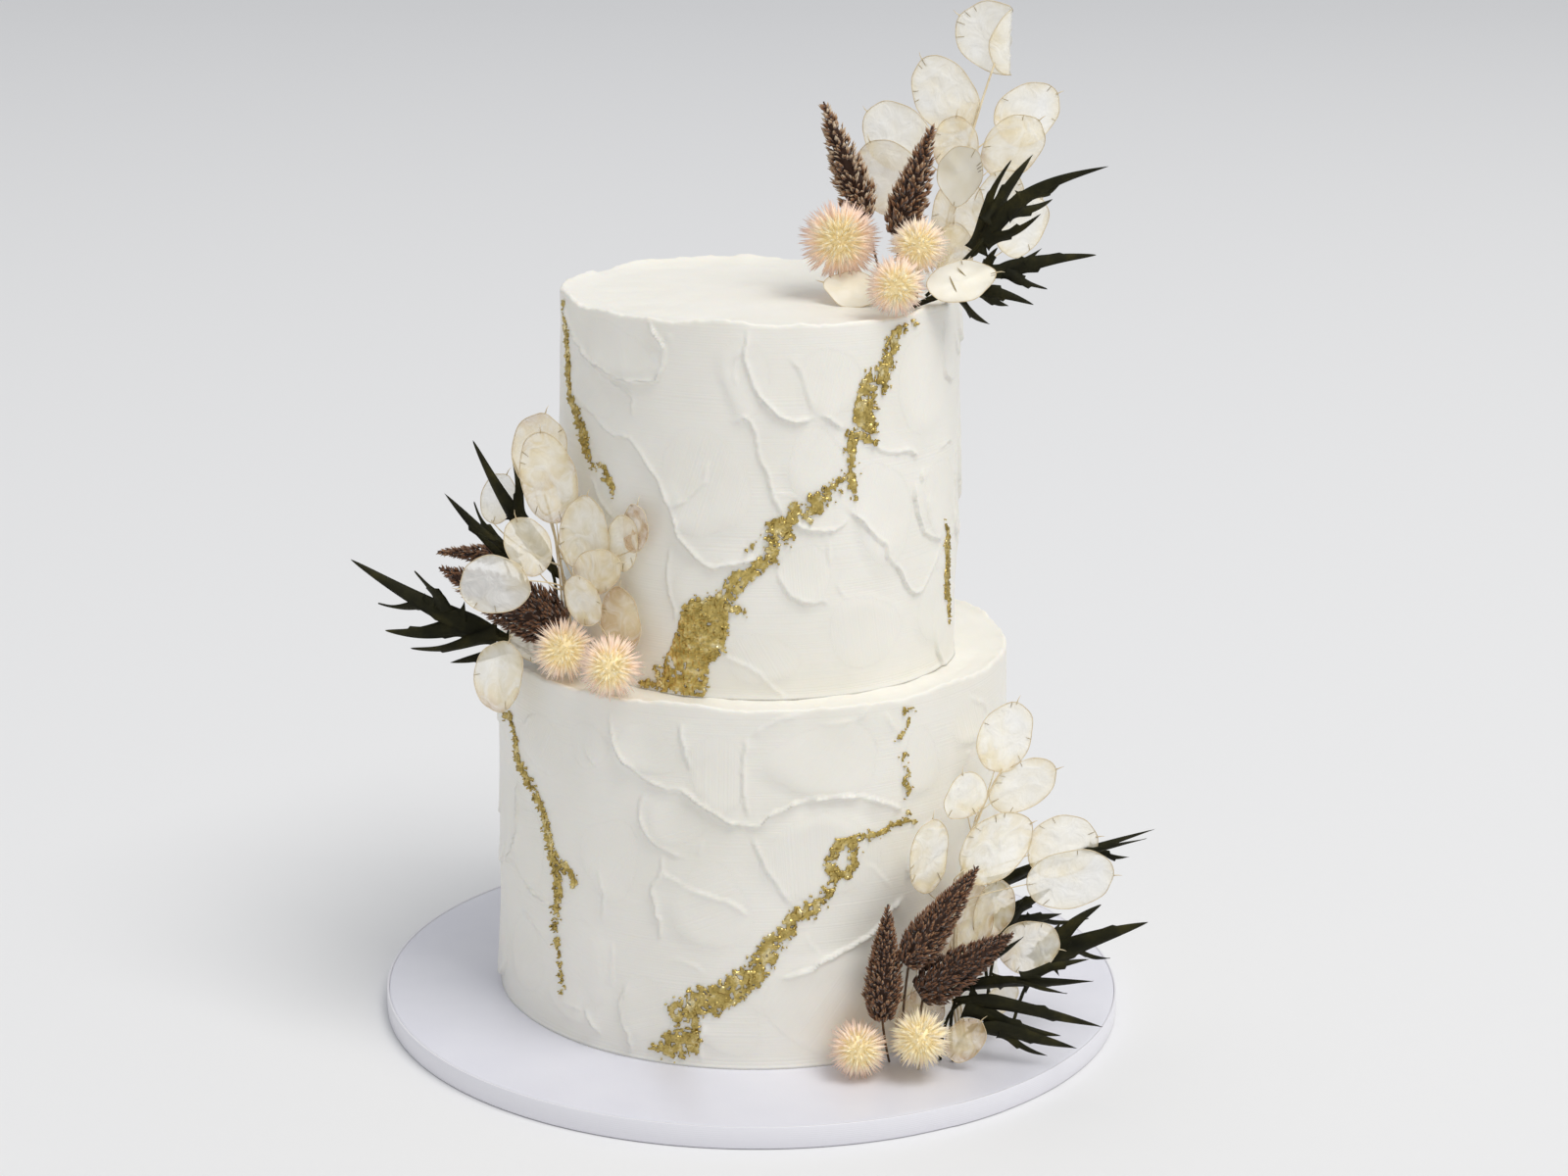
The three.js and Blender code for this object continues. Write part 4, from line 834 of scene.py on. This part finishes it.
LOOSE_PODS = {
    "top_loose_pod_1": ((78, -46, 311), 29, 16, 80, 20, -25, 2.35),
    "top_loose_pod_2": ((36.5, -27, 304.4), 22, 19, -75, 0, -52, 2.25),
    "left_loose_pod_1": ((-100, -56, 155), 28, 22, 15, -30, -6, 0.4),
    "left_loose_pod_2": ((-86, -48, 167), 22, 16, -70, -15, -15, 0.2),
    "right_loose_pod_1": ((66, -84, 24), 25, 23, 20, 32, 0, 0.85),
    "right_loose_pod_2": ((83, -98, 21.5), 19, 14, 35, -15, -10, 0.6),
    "right_loose_pod_3": ((59, -90, 44), 20, 11, 10, 28, 0, 0.1),
    "right_loose_pod_4": ((99, -70, 27), 16, 10, 60, 20, -20, 0.3),
}
# Two dry splits in the husk of one pod, end to end in the pod's own x and z.
HUSK_SPLITS = {"top_loose_pod_1": [((-5.5, -0.4), (-1.4, 2.2)), ((-3.0, -4.4), (3.8, -3.6))]}


def tube(path, radii, sides, closed=False):
    """Points and faces of a round thread along a path; the ends are shut unless it is a loop."""
    path = np.asarray(path, dtype=float)
    count = len(path)
    after = np.roll(path, -1, axis=0) if closed else np.vstack([path[1:], 2 * path[-1] - path[-2]])
    before = np.roll(path, 1, axis=0) if closed else np.vstack([2 * path[0] - path[1], path[:-1]])
    tangents = after - before
    tangents /= np.linalg.norm(tangents, axis=1)[:, None]
    normal = np.cross(tangents[0], (0.3, 0.9, 0.2))
    rings = []
    angles = np.linspace(0, 2 * math.pi, sides, endpoint=False)
    for place, tangent, radius in zip(path, tangents, np.broadcast_to(radii, count)):
        normal = normal - tangent * (normal @ tangent)
        normal = normal / np.linalg.norm(normal)
        other = np.cross(tangent, normal)
        rings.append(place + radius * (np.cos(angles)[:, None] * normal + np.sin(angles)[:, None] * other))
    points = np.concatenate(rings)
    if closed:
        return points, wrapped_faces(count, sides, closed_rows=True)
    return np.vstack([points, path[0], path[-1]]), capped_faces(count, sides)


def curve(start, through, end, steps):
    """Points along a simple bend that leaves start towards through and arrives from it."""
    share = np.linspace(0, 1, steps)[:, None]
    start, through, end = np.array(start, float), np.array(through, float), np.array(end, float)
    return (1 - share) ** 2 * start + 2 * share * (1 - share) * through + share ** 2 * end


def join_parts(name, parts, finishes, tone):
    """One piece from parts of (points, faces, finish number, tone of each point or one for all)."""
    start = 0
    points, faces, picks, tones = [], [], [], []
    for part_points, part_faces, pick, part_tone in parts:
        points.append(part_points)
        faces += [tuple(corner + start for corner in face) for face in part_faces]
        picks += [pick] * len(part_faces)
        tones.append(np.broadcast_to(part_tone, len(part_points)))
        start += len(part_points)
    return make_piece(name, np.concatenate(points), faces, finishes, picks, {tone: np.concatenate(tones)})


def pod_place(shape, x, y, z):
    """Points in a pod's own frame, z to its tip and -y to the viewer, where the pod stands."""
    at, _, _, turn, yaw, lean = shape[:6]
    facing = (Matrix.Rotation(math.radians(yaw), 3, "Z") @ Matrix.Rotation(math.radians(lean), 3, "X")
              @ Matrix.Rotation(math.radians(turn), 3, "Y"))
    local = np.stack(np.broadcast_arrays(x, y, z), axis=-1).astype(float)
    return local @ np.array(facing).T + np.array(at, float)


def pod_parts(shape):
    """The skin, rim, spike and seed threads of one pod."""
    at, length, width = shape[:3]
    husk, age = divmod(shape[6], 2)
    draw = np.random.default_rng(int(abs(at[0]) * 31 + abs(at[2]) * 7))
    angle = np.linspace(0, 2 * math.pi, POD_SIDES, endpoint=False)
    lean_in = np.minimum(angle, 2 * math.pi - angle)
    uneven = 1 + 0.025 * np.sin(3 * angle + draw.uniform(0, 6))
    uneven += 0.012 * np.sin(7 * angle + draw.uniform(0, 6))
    rim_x = 0.5 * width * np.sign(np.sin(angle)) * np.abs(np.sin(angle)) ** 0.86 * uneven
    rim_x = rim_x * (1 - 0.32 * husk * smooth(np.cos(angle), 0.1, 1.0))
    rim_z = 0.5 * length * np.cos(angle) * uneven * (1 + 0.05 * np.exp(-(lean_in / 0.2) ** 2))
    rim_y = 0.5 * np.sin(2 * angle + at[0]) + 0.25 * np.sin(5 * angle + at[2])
    skins = []
    yellowed = []
    rings = (0.2, 0.38, 0.54, 0.68, 0.8, 0.9, 0.97)
    for side in (-1, 1):
        skin = []
        for share in rings:
            yellowed.append(0.3 * share ** 6 + 0.25 * share * np.exp(-((np.cos(angle) + 1) / 0.5) ** 2))
            x, z = rim_x * share, rim_z * share
            far = 0 * x + at[0]
            crease = 0.55 * lumps(x / 5 + z / 14, z / 9, far, 31) + 0.3 * lumps(x / 2.5, z / 4.5, far, 32)
            belly = POD_CUP * (1 - share ** 2)
            y = belly + rim_y * share ** 2 + crease * (1 - share ** 6)
            y = y + side * (0.05 + 0.22 * (1 - share ** 2))
            skin.append(pod_place(shape, x, y, z))
        skins.append(skin)
    rim = pod_place(shape, rim_x, rim_y, rim_z)
    bands = skins[0] + [rim] + skins[1][::-1]
    hub_front = pod_place(shape, 0, POD_CUP - 0.27, 0)
    hub_back = pod_place(shape, 0, POD_CUP + 0.27, 0)
    points = np.vstack([*bands, hub_front, hub_back])
    half = len(rings)
    ages = [*yellowed[:half], 0 * angle + 0.35, *yellowed[half:][::-1], [0, 0]]
    parts = [(points, capped_faces(len(bands), POD_SIDES), 3 if husk else 0,
              np.clip(age + np.concatenate(ages), 0, 1))]
    parts.append((*tube(rim, 0.16, 5, closed=True), 1, age))
    tip = 0.5 * length * 1.05
    spike = np.array([[0, 0, tip - 0.6], [0.2, 0, tip + 1.6], [0.7, 0.3, tip + 3.2]])
    parts.append((*tube(pod_place(shape, *spike.T), [0.3, 0.18, 0.06], 5), 1, age))
    for _ in range(draw.integers(2, 6)):
        at_rim = draw.integers(0, POD_SIDES)
        shares = np.array([0.985, 0.9, 0.82 - 0.08 * draw.random()])
        x, z = rim_x[at_rim] * shares, rim_z[at_rim] * shares + 0.6 * np.array([0, 0.4, 1.0])
        y = rim_y[at_rim] * shares ** 2 + POD_CUP * (1 - shares ** 2) - 0.32
        parts.append((*tube(pod_place(shape, x, y, z), [0.08, 0.14, 0.1], 4), 2, age))
    return parts


def fold_over(points, at):
    """Fold all that lies beyond a place on the x axis back to the left, in front of the rest."""
    beyond = np.maximum(points[:, 0] - at, 0)
    return points - np.stack([2 * beyond, np.minimum(beyond, 1.1), 0 * beyond], axis=-1)


def spray_parts(root, through, crown, pods):
    """A main stem with two thin straws that wind beside it, and the pods on their side stems."""
    main = curve(root, through, crown, 24)
    parts = [(*tube(main, np.linspace(0.75, 0.4, 24), 7), 1, 0.3)]
    for number in (0, 1):
        turn = np.linspace(0, 2.2, 20) + 2.6 * number
        apart = 1.5 * np.stack([np.cos(turn), np.sin(turn), 0 * turn], axis=-1)
        parts.append((*tube(main[:20] + apart, np.linspace(0.55, 0.2, 20), 6), 1, 0.3))
    for shape in pods:
        if shape[0][2] > TOP_FOLD_ABOVE:
            parts += [(fold_over(points, TOP_FOLD_AT), *rest) for points, *rest in pod_parts(shape)]
            continue
        length = shape[1]
        base = pod_place(shape, 0, 0, -0.47 * length)
        below = (base[2] - STEM_DROP - root[2]) / (crown[2] - root[2])
        share = shape[7] if len(shape) > 7 else min(max(below, 0.04), 0.94)
        joint = main[round(share * (len(main) - 1))]
        bow = pod_place(shape, 0, 0, -0.9 * length) * 0.6 + joint * 0.4
        parts.append((*tube(curve(joint, bow, base, 12), np.linspace(0.42, 0.2, 12), 6), 1, 0.3))
        parts += pod_parts(shape)
    return parts


# Honesty pod skin: dry and glassy thin, yellow to brown where it has aged. Its pearly sheen is painted
# as white patches in its colour where its fibres lie together, and a faint glow paints light on it in shade.
# Half of what is behind it shows through.
pod_skin, tree, shader = new_material("honesty_pod_skin", {
    "Roughness": 0.28, "IOR": 1.5, "Coat Weight": 0.35, "Coat Roughness": 0.15,
    "Sheen Weight": 0.3, "Sheen Roughness": 0.3, "Emission Strength": 0.08})
place = add_node(tree, "TexCoord")
age = add_node(tree, "Attribute", {"attribute_name": "age"})
silk = add_node(tree, "TexNoise", {"Scale": 120.0, "Detail": 5.0, "Distortion": 1.6},
                {"Vector": place.outputs["Object"]})
stain = add_node(tree, "TexNoise", {"Scale": 60.0, "Detail": 2.0}, {"Vector": place.outputs["Object"]})
older = add_node(tree, "Math", {"operation": "MULTIPLY_ADD", 1: 1.1, 2: -0.55},
                 {0: stain.outputs["Fac"]})
aged = add_node(tree, "Math", {"operation": "ADD", "use_clamp": True},
                {0: age.outputs["Fac"], 1: older.outputs["Value"]})
tint = add_node(tree, "ValToRGB", {"ramp": [(0.0, "#fbfaf6"), (0.3, "#faf4e2"), (0.6, "#f1e1b6"),
                                            (1.0, "#c09a66")]}, {"Fac": aged.outputs["Value"]})
# Painted sheen: white patches mixed into the colour stand in for the pearly reflection of the skin.
painted_pearl_sheen = add_node(tree, "ValToRGB", {"ramp": [(0.42, "#000000"), (0.62, "#ffffff")]},
                 {"Fac": silk.outputs["Fac"]})
lit = add_node(tree, "MixRGB", {"Color2": srgb("#fbfaf6")}, {"Color1": tint.outputs["Color"]})
share = add_node(tree, "Math", {"operation": "MULTIPLY", 1: 0.6}, {0: painted_pearl_sheen.outputs["Color"]})
tree.links.new(share.outputs["Value"], lit.inputs["Fac"])
tree.links.new(lit.outputs["Color"], shader.inputs["Base Color"])
# Painted light: the skin glows faintly in its own colour so that it stays bright in shade.
tree.links.new(lit.outputs["Color"], shader.inputs["Emission Color"])
cover = add_node(tree, "MapRange", {"To Min": 0.28, "To Max": 0.68}, {"Value": silk.outputs["Fac"]})
tree.links.new(cover.outputs["Result"], shader.inputs["Alpha"])
relief = add_node(tree, "Bump", {"Strength": 0.8, "Distance": 0.0012}, {"Height": silk.outputs["Fac"]})
tree.links.new(relief.outputs["Normal"], shader.inputs["Normal"])

# Straw stem: dry, pale tan and dull, with fibres along it.
straw = new_finish("dry_straw_stem", {"Roughness": 0.6}, (300.0, 2.0),
                   [(0.3, "#cdb68c"), (0.7, "#ecdfc0")])

# Seed thread: the dark dry thread that a seed hung on.
seed_thread = new_finish("dry_seed_thread", {"Roughness": 0.7}, (200.0, 2.0),
                         [(0.35, "#7d6a42"), (0.65, "#ab9660")])

# Pod husk: the outer wall of a pod that has not fallen yet, papery, cream and opaque, with a faint glow that
# paints light on it in shade.
pod_husk = new_finish(
    "honesty_pod_husk", {"Roughness": 0.5, "Subsurface Weight": 0.3, "Subsurface Scale": 0.002,
                         "Subsurface Radius": (1.0, 0.85, 0.6), "Emission Strength": 0.03},
    (70.0, 4.0), [(0.3, "#e9dfc6"), (0.7, "#f5f0e2")], (70.0, 4.0), (0.4, 0.0006))

for name, (root, through, crown, pods) in SPRAYS.items():
    spray = join_parts(name + "_spray", spray_parts(root, through, crown, pods),
                       [pod_skin, straw, seed_thread, pod_husk], "age")
    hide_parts(name)
for name, shape in LOOSE_PODS.items():
    parts = pod_parts(shape)
    for first, last in HUSK_SPLITS.get(name, []):
        x, z = np.linspace(first, last, 6).T
        y = POD_CUP * (1 - 4 * x ** 2 / shape[2] ** 2 - 4 * z ** 2 / shape[1] ** 2) - 0.3
        parts.append((*tube(pod_place(shape, x, y, z), [0.06, 0.2, 0.26, 0.26, 0.2, 0.06], 6), 2, 0.0))
    pod = join_parts(name + "_skin", parts, [pod_skin, straw, seed_thread, pod_husk], "age")
    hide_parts(name)

# Globe flowers
# Everlasting flower heads: hundreds of stiff, narrow, pointed bracts that stand out all round a
# small heart, cream where they face out of the spray and blush at their outer tips.
GOLDEN_TURN = math.pi * (3 - math.sqrt(5))
SCALE_DEPTH = 0.6
HEART = 0.52
BRACT_START = 0.42

# Each flower: its middle and radius, how high its stem stands, if it has one, the number of its
# bracts, the way it faces and how flushed it is.
GLOBES = {
    "top_globe_1": ((32, -14, 321), 15.7, ON_TOP, 560, (-0.1, -1.0, 0.25), 1.0),
    "top_globe_2": ((61, -45, 324), 11.5, ON_TOP + LIP_HEIGHT, 300, (-0.1, -1.0, 0.1), 0.6),
    "top_globe_3": ((52, -61, 311.5), 11.8, None, 300, (0.15, -1.0, 0.1), 0.85),
    "left_globe_1": ((-74, -62, 168), 12.6, ON_BOTTOM + LIP_HEIGHT, 290, (0.1, -1.0, 0.15), 0.7),
    "left_globe_2": ((-55, -84, 168), 12.7, None, 290, (0.0, -1.0, 0.05), 0.85),
    "right_globe_1": ((41.2, -105.5, 20.9), 11.7, ON_DRUM, 300, (0.1, -1.0, 0.1), 0.8),
    "right_globe_2": ((65, -107, 26), 12.1, ON_DRUM, 300, (-0.1, -1.0, 0.2), 0.2),
}


def unit(vector):
    vector = np.asarray(vector, float)
    return vector / np.linalg.norm(vector)


def pointed_scale(start, direction, wide, length, width, depth):
    """A closed pointed bract: a three-sided base and middle that run out to a tip."""
    other = np.cross(direction, wide)
    rows = []
    for share, spread in ((0.0, 0.7), (0.42, 1.0)):
        middle = start + direction * length * share
        rows.append([middle + wide * width * 0.5 * spread, middle - wide * width * 0.5 * spread,
                     middle + other * depth * spread])
    points = np.array([*rows[0], *rows[1], start + direction * length])
    faces = [(0, 1, 2), (0, 3, 4, 1), (1, 4, 5, 2), (2, 5, 3, 0), (3, 6, 4), (4, 6, 5), (5, 6, 3)]
    return points, faces


def globe_parts(at, radius, foot, count, facing, flush):
    centre = np.array(at, float)
    front = unit(facing)
    draw = np.random.default_rng(int(abs(at[0]) * 13 + at[2]))
    core = HEART * radius
    profile = [(core * math.sin(a), core * math.cos(a)) for a in np.linspace(3.0, 0.15, 8)]
    heart_points, heart_faces = turned(profile, 12)
    parts = [(heart_points + centre, heart_faces, 0, 0.2)]
    for i in range(count):
        height = 1 - 2 * (i + 0.5) / count
        turn = i * GOLDEN_TURN
        level = math.sqrt(1 - height * height)
        direction = np.array([level * math.cos(turn), level * math.sin(turn), height])
        direction = unit(direction + draw.normal(0, 0.09, 3))
        wide = unit(np.cross(direction, draw.normal(0, 1, 3)))
        reach = radius * draw.uniform(0.95, 1.12)
        start = centre + direction * BRACT_START * radius
        away = math.acos(float(np.clip(direction @ front, -1, 1)))
        blush = flush * float(smooth(away, 0.35, 1.35))
        points, faces = pointed_scale(start, direction, wide, reach - BRACT_START * radius,
                                      draw.uniform(1.1, 1.6), SCALE_DEPTH)
        tones = np.array([0.2] * 3 + [0.3 + 0.35 * blush] * 3 + [0.35 + 0.65 * blush])
        parts.append((points, faces, 0, np.clip(tones + draw.normal(0, 0.05), 0, 1)))
    if foot is not None:
        ground = np.array([at[0], at[1] + 0.7 * radius, foot])
        parts.append((*tube([centre, 0.5 * (centre + ground), ground], 0.7, 6), 1, 0.0))
    return parts


# Everlasting bract: straw-dry and waxy, cream at its root and blush pink at its point, with a glow that
# paints light into the shade between the bracts.
bract = new_finish(
    "everlasting_bract", {"Roughness": 0.5, "Subsurface Weight": 0.15, "Subsurface Scale": 0.001,
                          "Subsurface Radius": (1.0, 0.85, 0.65), "Emission Strength": 0.15},
    "blush", [(0.0, "#efdfb0"), (0.3, "#faecc4"), (0.6, "#fce4c9"), (1.0, "#f9cfbf")])

for name, shape in GLOBES.items():
    flower = join_parts(name + "_bracts", globe_parts(*shape), [bract, straw], "blush")
    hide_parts(name)

# Plumes
# Dried flower spikes, mauve brown: a straight stalk thick with small pointed spikelets that lean
# towards the tip, with paler dry points that are partly painted highlight, and roots painted dark as shade.
PLUME_STEPS = 60
SPIKELET_ROOM = 4.6

# Each plume: its foot, tip and width, where its stalk stands, how coarse its spikelets are and how
# pale their tips are, partly faded and partly painted highlight. The room is how many square mm of a plume
# each spikelet takes up.
PLUMES = {
    "top_plume_1": ((42.5, 6, 327), (24.5, -4, 375), 15.5, (50, 10, ON_TOP), 1.1, 2.8),
    "top_plume_2": ((54, -22, 324), (67, -22, 368), 15.5, (54, -24, ON_TOP), 1.1, 1.4),
    "left_plume_1": ((-97, -36, 199), (-126, -32, 199), 8, (-90, -30, ON_BOTTOM + LIP_HEIGHT), 0.8, 1),
    "left_plume_2": ((-75, -48, 173), (-125, -46, 197), 21.5, (-80, -42, ON_BOTTOM), 0.85, 0.7),
    "right_plume_1": ((50, -103, 32), (52, -98, 79), 14.5, (54, -92, ON_DRUM), 0.75, 1),
    "right_plume_2": ((59, -101, 54), (88, -88, 91), 15.5, (59, -92, ON_DRUM), 0.75, 0.85),
    "right_plume_3": ((64.5, -99, 41), (102.5, -92, 64.5), 17, (67, -89, ON_DRUM), 0.75, 0.55),
}


def plume_parts(base, tip, width, stalk, coarse, fade_and_highlight):
    base, tip = np.array(base, float), np.array(tip, float)
    axis = tip - base
    length = np.linalg.norm(axis)
    axis = axis / length
    side = unit(np.cross((0, 1, 0), axis))
    other = np.cross(axis, side)
    draw = np.random.default_rng(int(abs(base[0]) + base[2]))

    def fullness(share):
        swell = float(0.65 + 0.35 * smooth(share, 0.0, 0.2))
        return 0.56 * width * swell * (1 - share ** 1.9) ** 0.85 + 0.3

    shares = np.linspace(0, 0.97, 14)
    parts = [(*tube([base + axis * length * share for share in shares],
                    [max(0.75 * fullness(share) - 1.6, 0.35) for share in shares], 8), 0, 0.0)]
    along = np.linspace(0, 1, PLUME_STEPS)
    grown = np.cumsum([fullness(share) for share in along])
    skin = 2 * math.pi * grown.mean() / (PLUME_STEPS / 2) * length
    count = int(skin / (SPIKELET_ROOM * coarse ** 2))
    for i in range(count):
        share = float(np.interp((i + draw.random()) / count, grown / grown[-1], along))
        turn = i * GOLDEN_TURN + draw.normal(0, 0.3)
        outward = side * math.cos(turn) + other * math.sin(turn)
        lean = math.radians(draw.uniform(28, 70)) * (1 - 0.3 * share)
        direction = axis * math.cos(lean) + outward * math.sin(lean)
        spikelet = coarse * draw.uniform(3.2, 5.2) * (1 - 0.3 * share)
        reach = max(draw.uniform(0.86, 1.08) * fullness(share) - spikelet * math.sin(lean), 0.3)
        start = base + axis * (length * share * 0.95) + outward * reach
        wide = unit(np.cross(direction, outward + draw.normal(0, 0.5, 3)))
        points, faces = pointed_scale(start, direction, wide, spikelet, coarse * draw.uniform(1.2, 1.9),
                                      SCALE_DEPTH)
        # Painted shade at each spikelet's root; at its tip, real paleness mixed with painted highlight.
        pale = fade_and_highlight * draw.uniform(0.3, 1.0)
        tones = np.array([0.08 * fade_and_highlight] * 3 + [0.4 * pale] * 3 + [min(pale, 1.0)])
        parts.append((points, faces, 0, tones))
    stalk = np.array(stalk, float)
    bend = base * 0.6 + stalk * 0.4 + axis * -2
    parts.append((*tube(curve(base + axis * 3, bend, stalk, 8), 0.5, 6), 1, 0.0))
    return parts


# Dried spikelet: matt and papery, painted almost black at its root as shade in the plume's depths, with
# mauve brown sides and grey tips that are partly dry paleness and partly painted highlight.
spikelet_husk = new_finish(
    "dried_spikelet", {"Roughness": 0.75, "Sheen Weight": 0.25, "Sheen Roughness": 0.4},
    "paleness", [(0.0, "#3d2414"), (0.35, "#825636"), (0.7, "#b08a66"), (1.0, "#dfcaae")])

# Brown stalk: dry, ridged and dull.
brown_stalk = new_finish("dry_brown_stalk", {"Roughness": 0.7}, (250.0, 2.0),
                         [(0.35, "#4a3626"), (0.65, "#6f553c")])

for name, shape in PLUMES.items():
    plume = join_parts(name + "_spikelets", plume_parts(*shape), [spikelet_husk, brown_stalk], "paleness")
    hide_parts(name)

# Fronds
# Preserved cut leaves dyed a black green: flat leathery blades that run out to sharp points, with
# narrow side lobes, a few teeth and a midrib down each.
BLADE_TWIST = 0.6
BLADE_BOW = 0.03
LOBE_BOW = 0.07
BLADE_WAVE = 0.8
BLADE_SECTIONS = 34
BLADE_SKIN = 0.16
TOOTH_RUN = 5

# Each frond: its root, tip and width, where its stalk stands, and its side lobes, by where they leave
# the blade, their tip and their width. One has a stronger bow than the others.
FROND_BOWS = {"top_frond_1": 0.12}
FRONDS = {
    "top_frond_1": ((83, -12, 314), (134, -30, 353), 7, (66, -12, ON_TOP),
                    [(0.05, 98, -14, 353, 5), (0.22, 107, -4, 354, 6), (0.45, 116, -24, 345, 4),
                     (0.35, 115, -8, 337, 4), (0.12, 109, -26, 334, 4)]),
    "top_frond_2": ((85, -30, 310), (129, -44, 321), 7, (62, -29, ON_TOP),
                    [(0.1, 110, -22, 320, 4), (0.05, 92, -34, 322, 4), (0.25, 110, -52, 309, 4),
                     (0.4, 115, -34, 320, 3)]),
    "top_frond_3": ((82, -38, 307), (105, -52, 303), 5, (60, -36, ON_TOP),
                    [(0.1, 97, -32, 299, 4), (-0.4, 88, -61, 297, 5)]),
    "left_frond_1": ((-95, -38, 164), (-161, -22, 193), 9, (-84, -36, ON_BOTTOM),
                     [(0.42, -133, -46, 195, 5), (0.5, -151, -18, 174, 5), (0.28, -147, -30, 166, 7),
                      (0.1, -135, -48, 164, 6), (0.02, -121, -34, 154, 5)]),
    "left_frond_2": ((-91, -42, 196), (-120, -54, 228), 6, (-88, -20, ON_BOTTOM),
                     [(0.2, -110, -38, 221, 4), (0.1, -107, -56, 213, 4)]),
    "left_frond_3": ((-77, -32, 188), (-112, -18, 241), 8, (-82, -33, ON_BOTTOM),
                     [(0.45, -96, -28, 237, 4), (0.4, -99, -26, 216, 4)]),
    "right_frond_1": ((91, -50, 63), (163, -30, 85), 5, (98, -52, ON_DRUM),
                      [(0.06, 156, -58, 91, 6), (0.62, 151, -44, 78, 3)]),
    "right_frond_2": ((112, -62, 38), (156, -72, 61), 9, (104, -62, ON_DRUM),
                      [(0.1, 140, -48, 59, 7), (0.3, 143, -60, 41, 4), (0.05, 123, -57, 55, 6)]),
    "right_frond_3": ((98, -54, 50), (125, -40, 52), 8, (94, -54, ON_DRUM),
                      [(0.1, 119, -58, 70, 7), (0.4, 137, -32, 47, 4), (0.02, 108, -57, 65, 6)]),
    "right_frond_4": ((79, -83, 36), (133, -94, 45), 9, (79, -85, ON_DRUM),
                      [(0.08, 106, -83, 59, 6), (0.5, 132, -84, 50, 4), (0.3, 122, -102, 43, 5)]),
    "right_frond_5": ((78, -88, 34), (136, -104, 30), 8, (74, -90, ON_DRUM), [(0.1, 121, -92, 21, 6)]),
    "right_frond_6": ((84, -92, 24), (127, -97, 18), 8, (79, -91, ON_DRUM), [(0.3, 116, -93, 13, 3)]),
}


def rib_at(start, tip, share, bow):
    """The rib of a blade: where it runs, and which way its edge and its face look."""
    run = tip - start
    length = np.linalg.norm(run)
    side = unit(np.cross(run, (0, 1, 0)))
    turn = Matrix.Rotation(BLADE_TWIST * math.sin(tip[0] + tip[2]), 3, Vector(run))
    side = np.array(turn) @ side
    face = unit(np.cross(side, run))
    middle = (start + run * share + side * bow * length * math.sin(math.pi * share)
              + face * BLADE_WAVE * math.sin(6 * share))
    return middle, side, face


def blade_parts(start, tip, width, joined, bow):
    """One blade: leathery, folded a little along its rib, toothed, and broad where it joins another."""
    draw = np.random.default_rng(int(abs(tip[0] * 3 + tip[2])))
    length = np.linalg.norm(tip - start)
    teeth = [(draw.uniform(0.3, 0.75), side, draw.uniform(0.5, 1.3)) for side in (-1, 1)]
    rings = []
    for share in np.linspace(0.0 if joined else 0.04, 0.985, BLADE_SECTIONS):
        middle, side, face = rib_at(start, tip, share, bow)
        web = 1.1 * math.exp(-share / 0.1) if joined else 0.0
        root = 0.85 if joined else 0.3
        body = (root + web + (1 - root) * smooth(share, 0.0, 0.3)) * (1 - share) ** 0.7 * 1.25
        rib = 0.34 * (1 - 0.7 * share)
        half = {}
        for at, edge, size in teeth:
            before = (at - share) * length / TOOTH_RUN
            half[edge] = 0.5 * width * body + (size * (1 - before) if 0 < before < 1 else 0.0)
        rise = {edge: 0.22 * half[edge] + 0.3 * math.sin(9 * share + edge) for edge in (-1, 1)}
        ring = []
        for edge, up in ((-1, 0), (-0.5, 1), (-0.06, 2), (0.06, 2), (0.5, 1), (1, 0),
                         (0.5, -1), (0.06, -2), (-0.06, -2), (-0.5, -1)):
            sign = -1 if edge < 0 else 1
            out = edge * half[sign]
            high = abs(edge) * rise[sign] + {0: 0, 1: BLADE_SKIN, 2: rib, -1: -BLADE_SKIN, -2: -rib}[up]
            ring.append(middle + side * out + face * high)
        rings.append(ring)
    points = np.array([point for ring in rings for point in ring] + [start, tip])
    return points, capped_faces(len(rings), len(rings[0]))


def frond_parts(root, tip, width, stalk, sides, bow):
    """A main blade, side lobes that leave it outwards and bend forwards, and a stalk."""
    start, end = np.array(root, float), np.array(tip, float)
    parts = [(*blade_parts(start, end, width, False, bow), 0, 0.5)]
    for share, x, y, z, side_width in sides:
        middle = rib_at(start, end, share, bow)[0]
        lobe_tip = np.array([x, y, z], float)
        side = rib_at(middle, lobe_tip, 0.5, 0.0)[1]
        lobe_bow = -LOBE_BOW * float(np.sign(side @ (end - start)))
        parts.append((*blade_parts(middle, lobe_tip, side_width, True, lobe_bow), 0, 0.5))
    inside = rib_at(start, end, 0.14, bow)[0]
    stem = curve(inside, start + (end - start) * -0.06, stalk, 12)
    parts.append((*tube(stem, 0.7, 6), 0, 0.8))
    return parts


# Preserved leaf: dyed and softened with glycerine, so nearly black green with a dull waxy sheen and a
# little brown where it dries.
leaf_skin = new_finish(
    "glycerine_preserved_leaf", {"Roughness": 0.75, "Specular IOR Level": 0.2},
    (120.0, 4.0), [(0.3, "#18180a"), (0.55, "#262511"), (0.75, "#3a3617")], (420.0, 3.0), (0.4, 0.0004))

for name, shape in FRONDS.items():
    frond_bow = FROND_BOWS.get(name, BLADE_BOW)
    frond = join_parts(name + "_blades", frond_parts(*shape, frond_bow), [leaf_skin], "age")
    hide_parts(name)
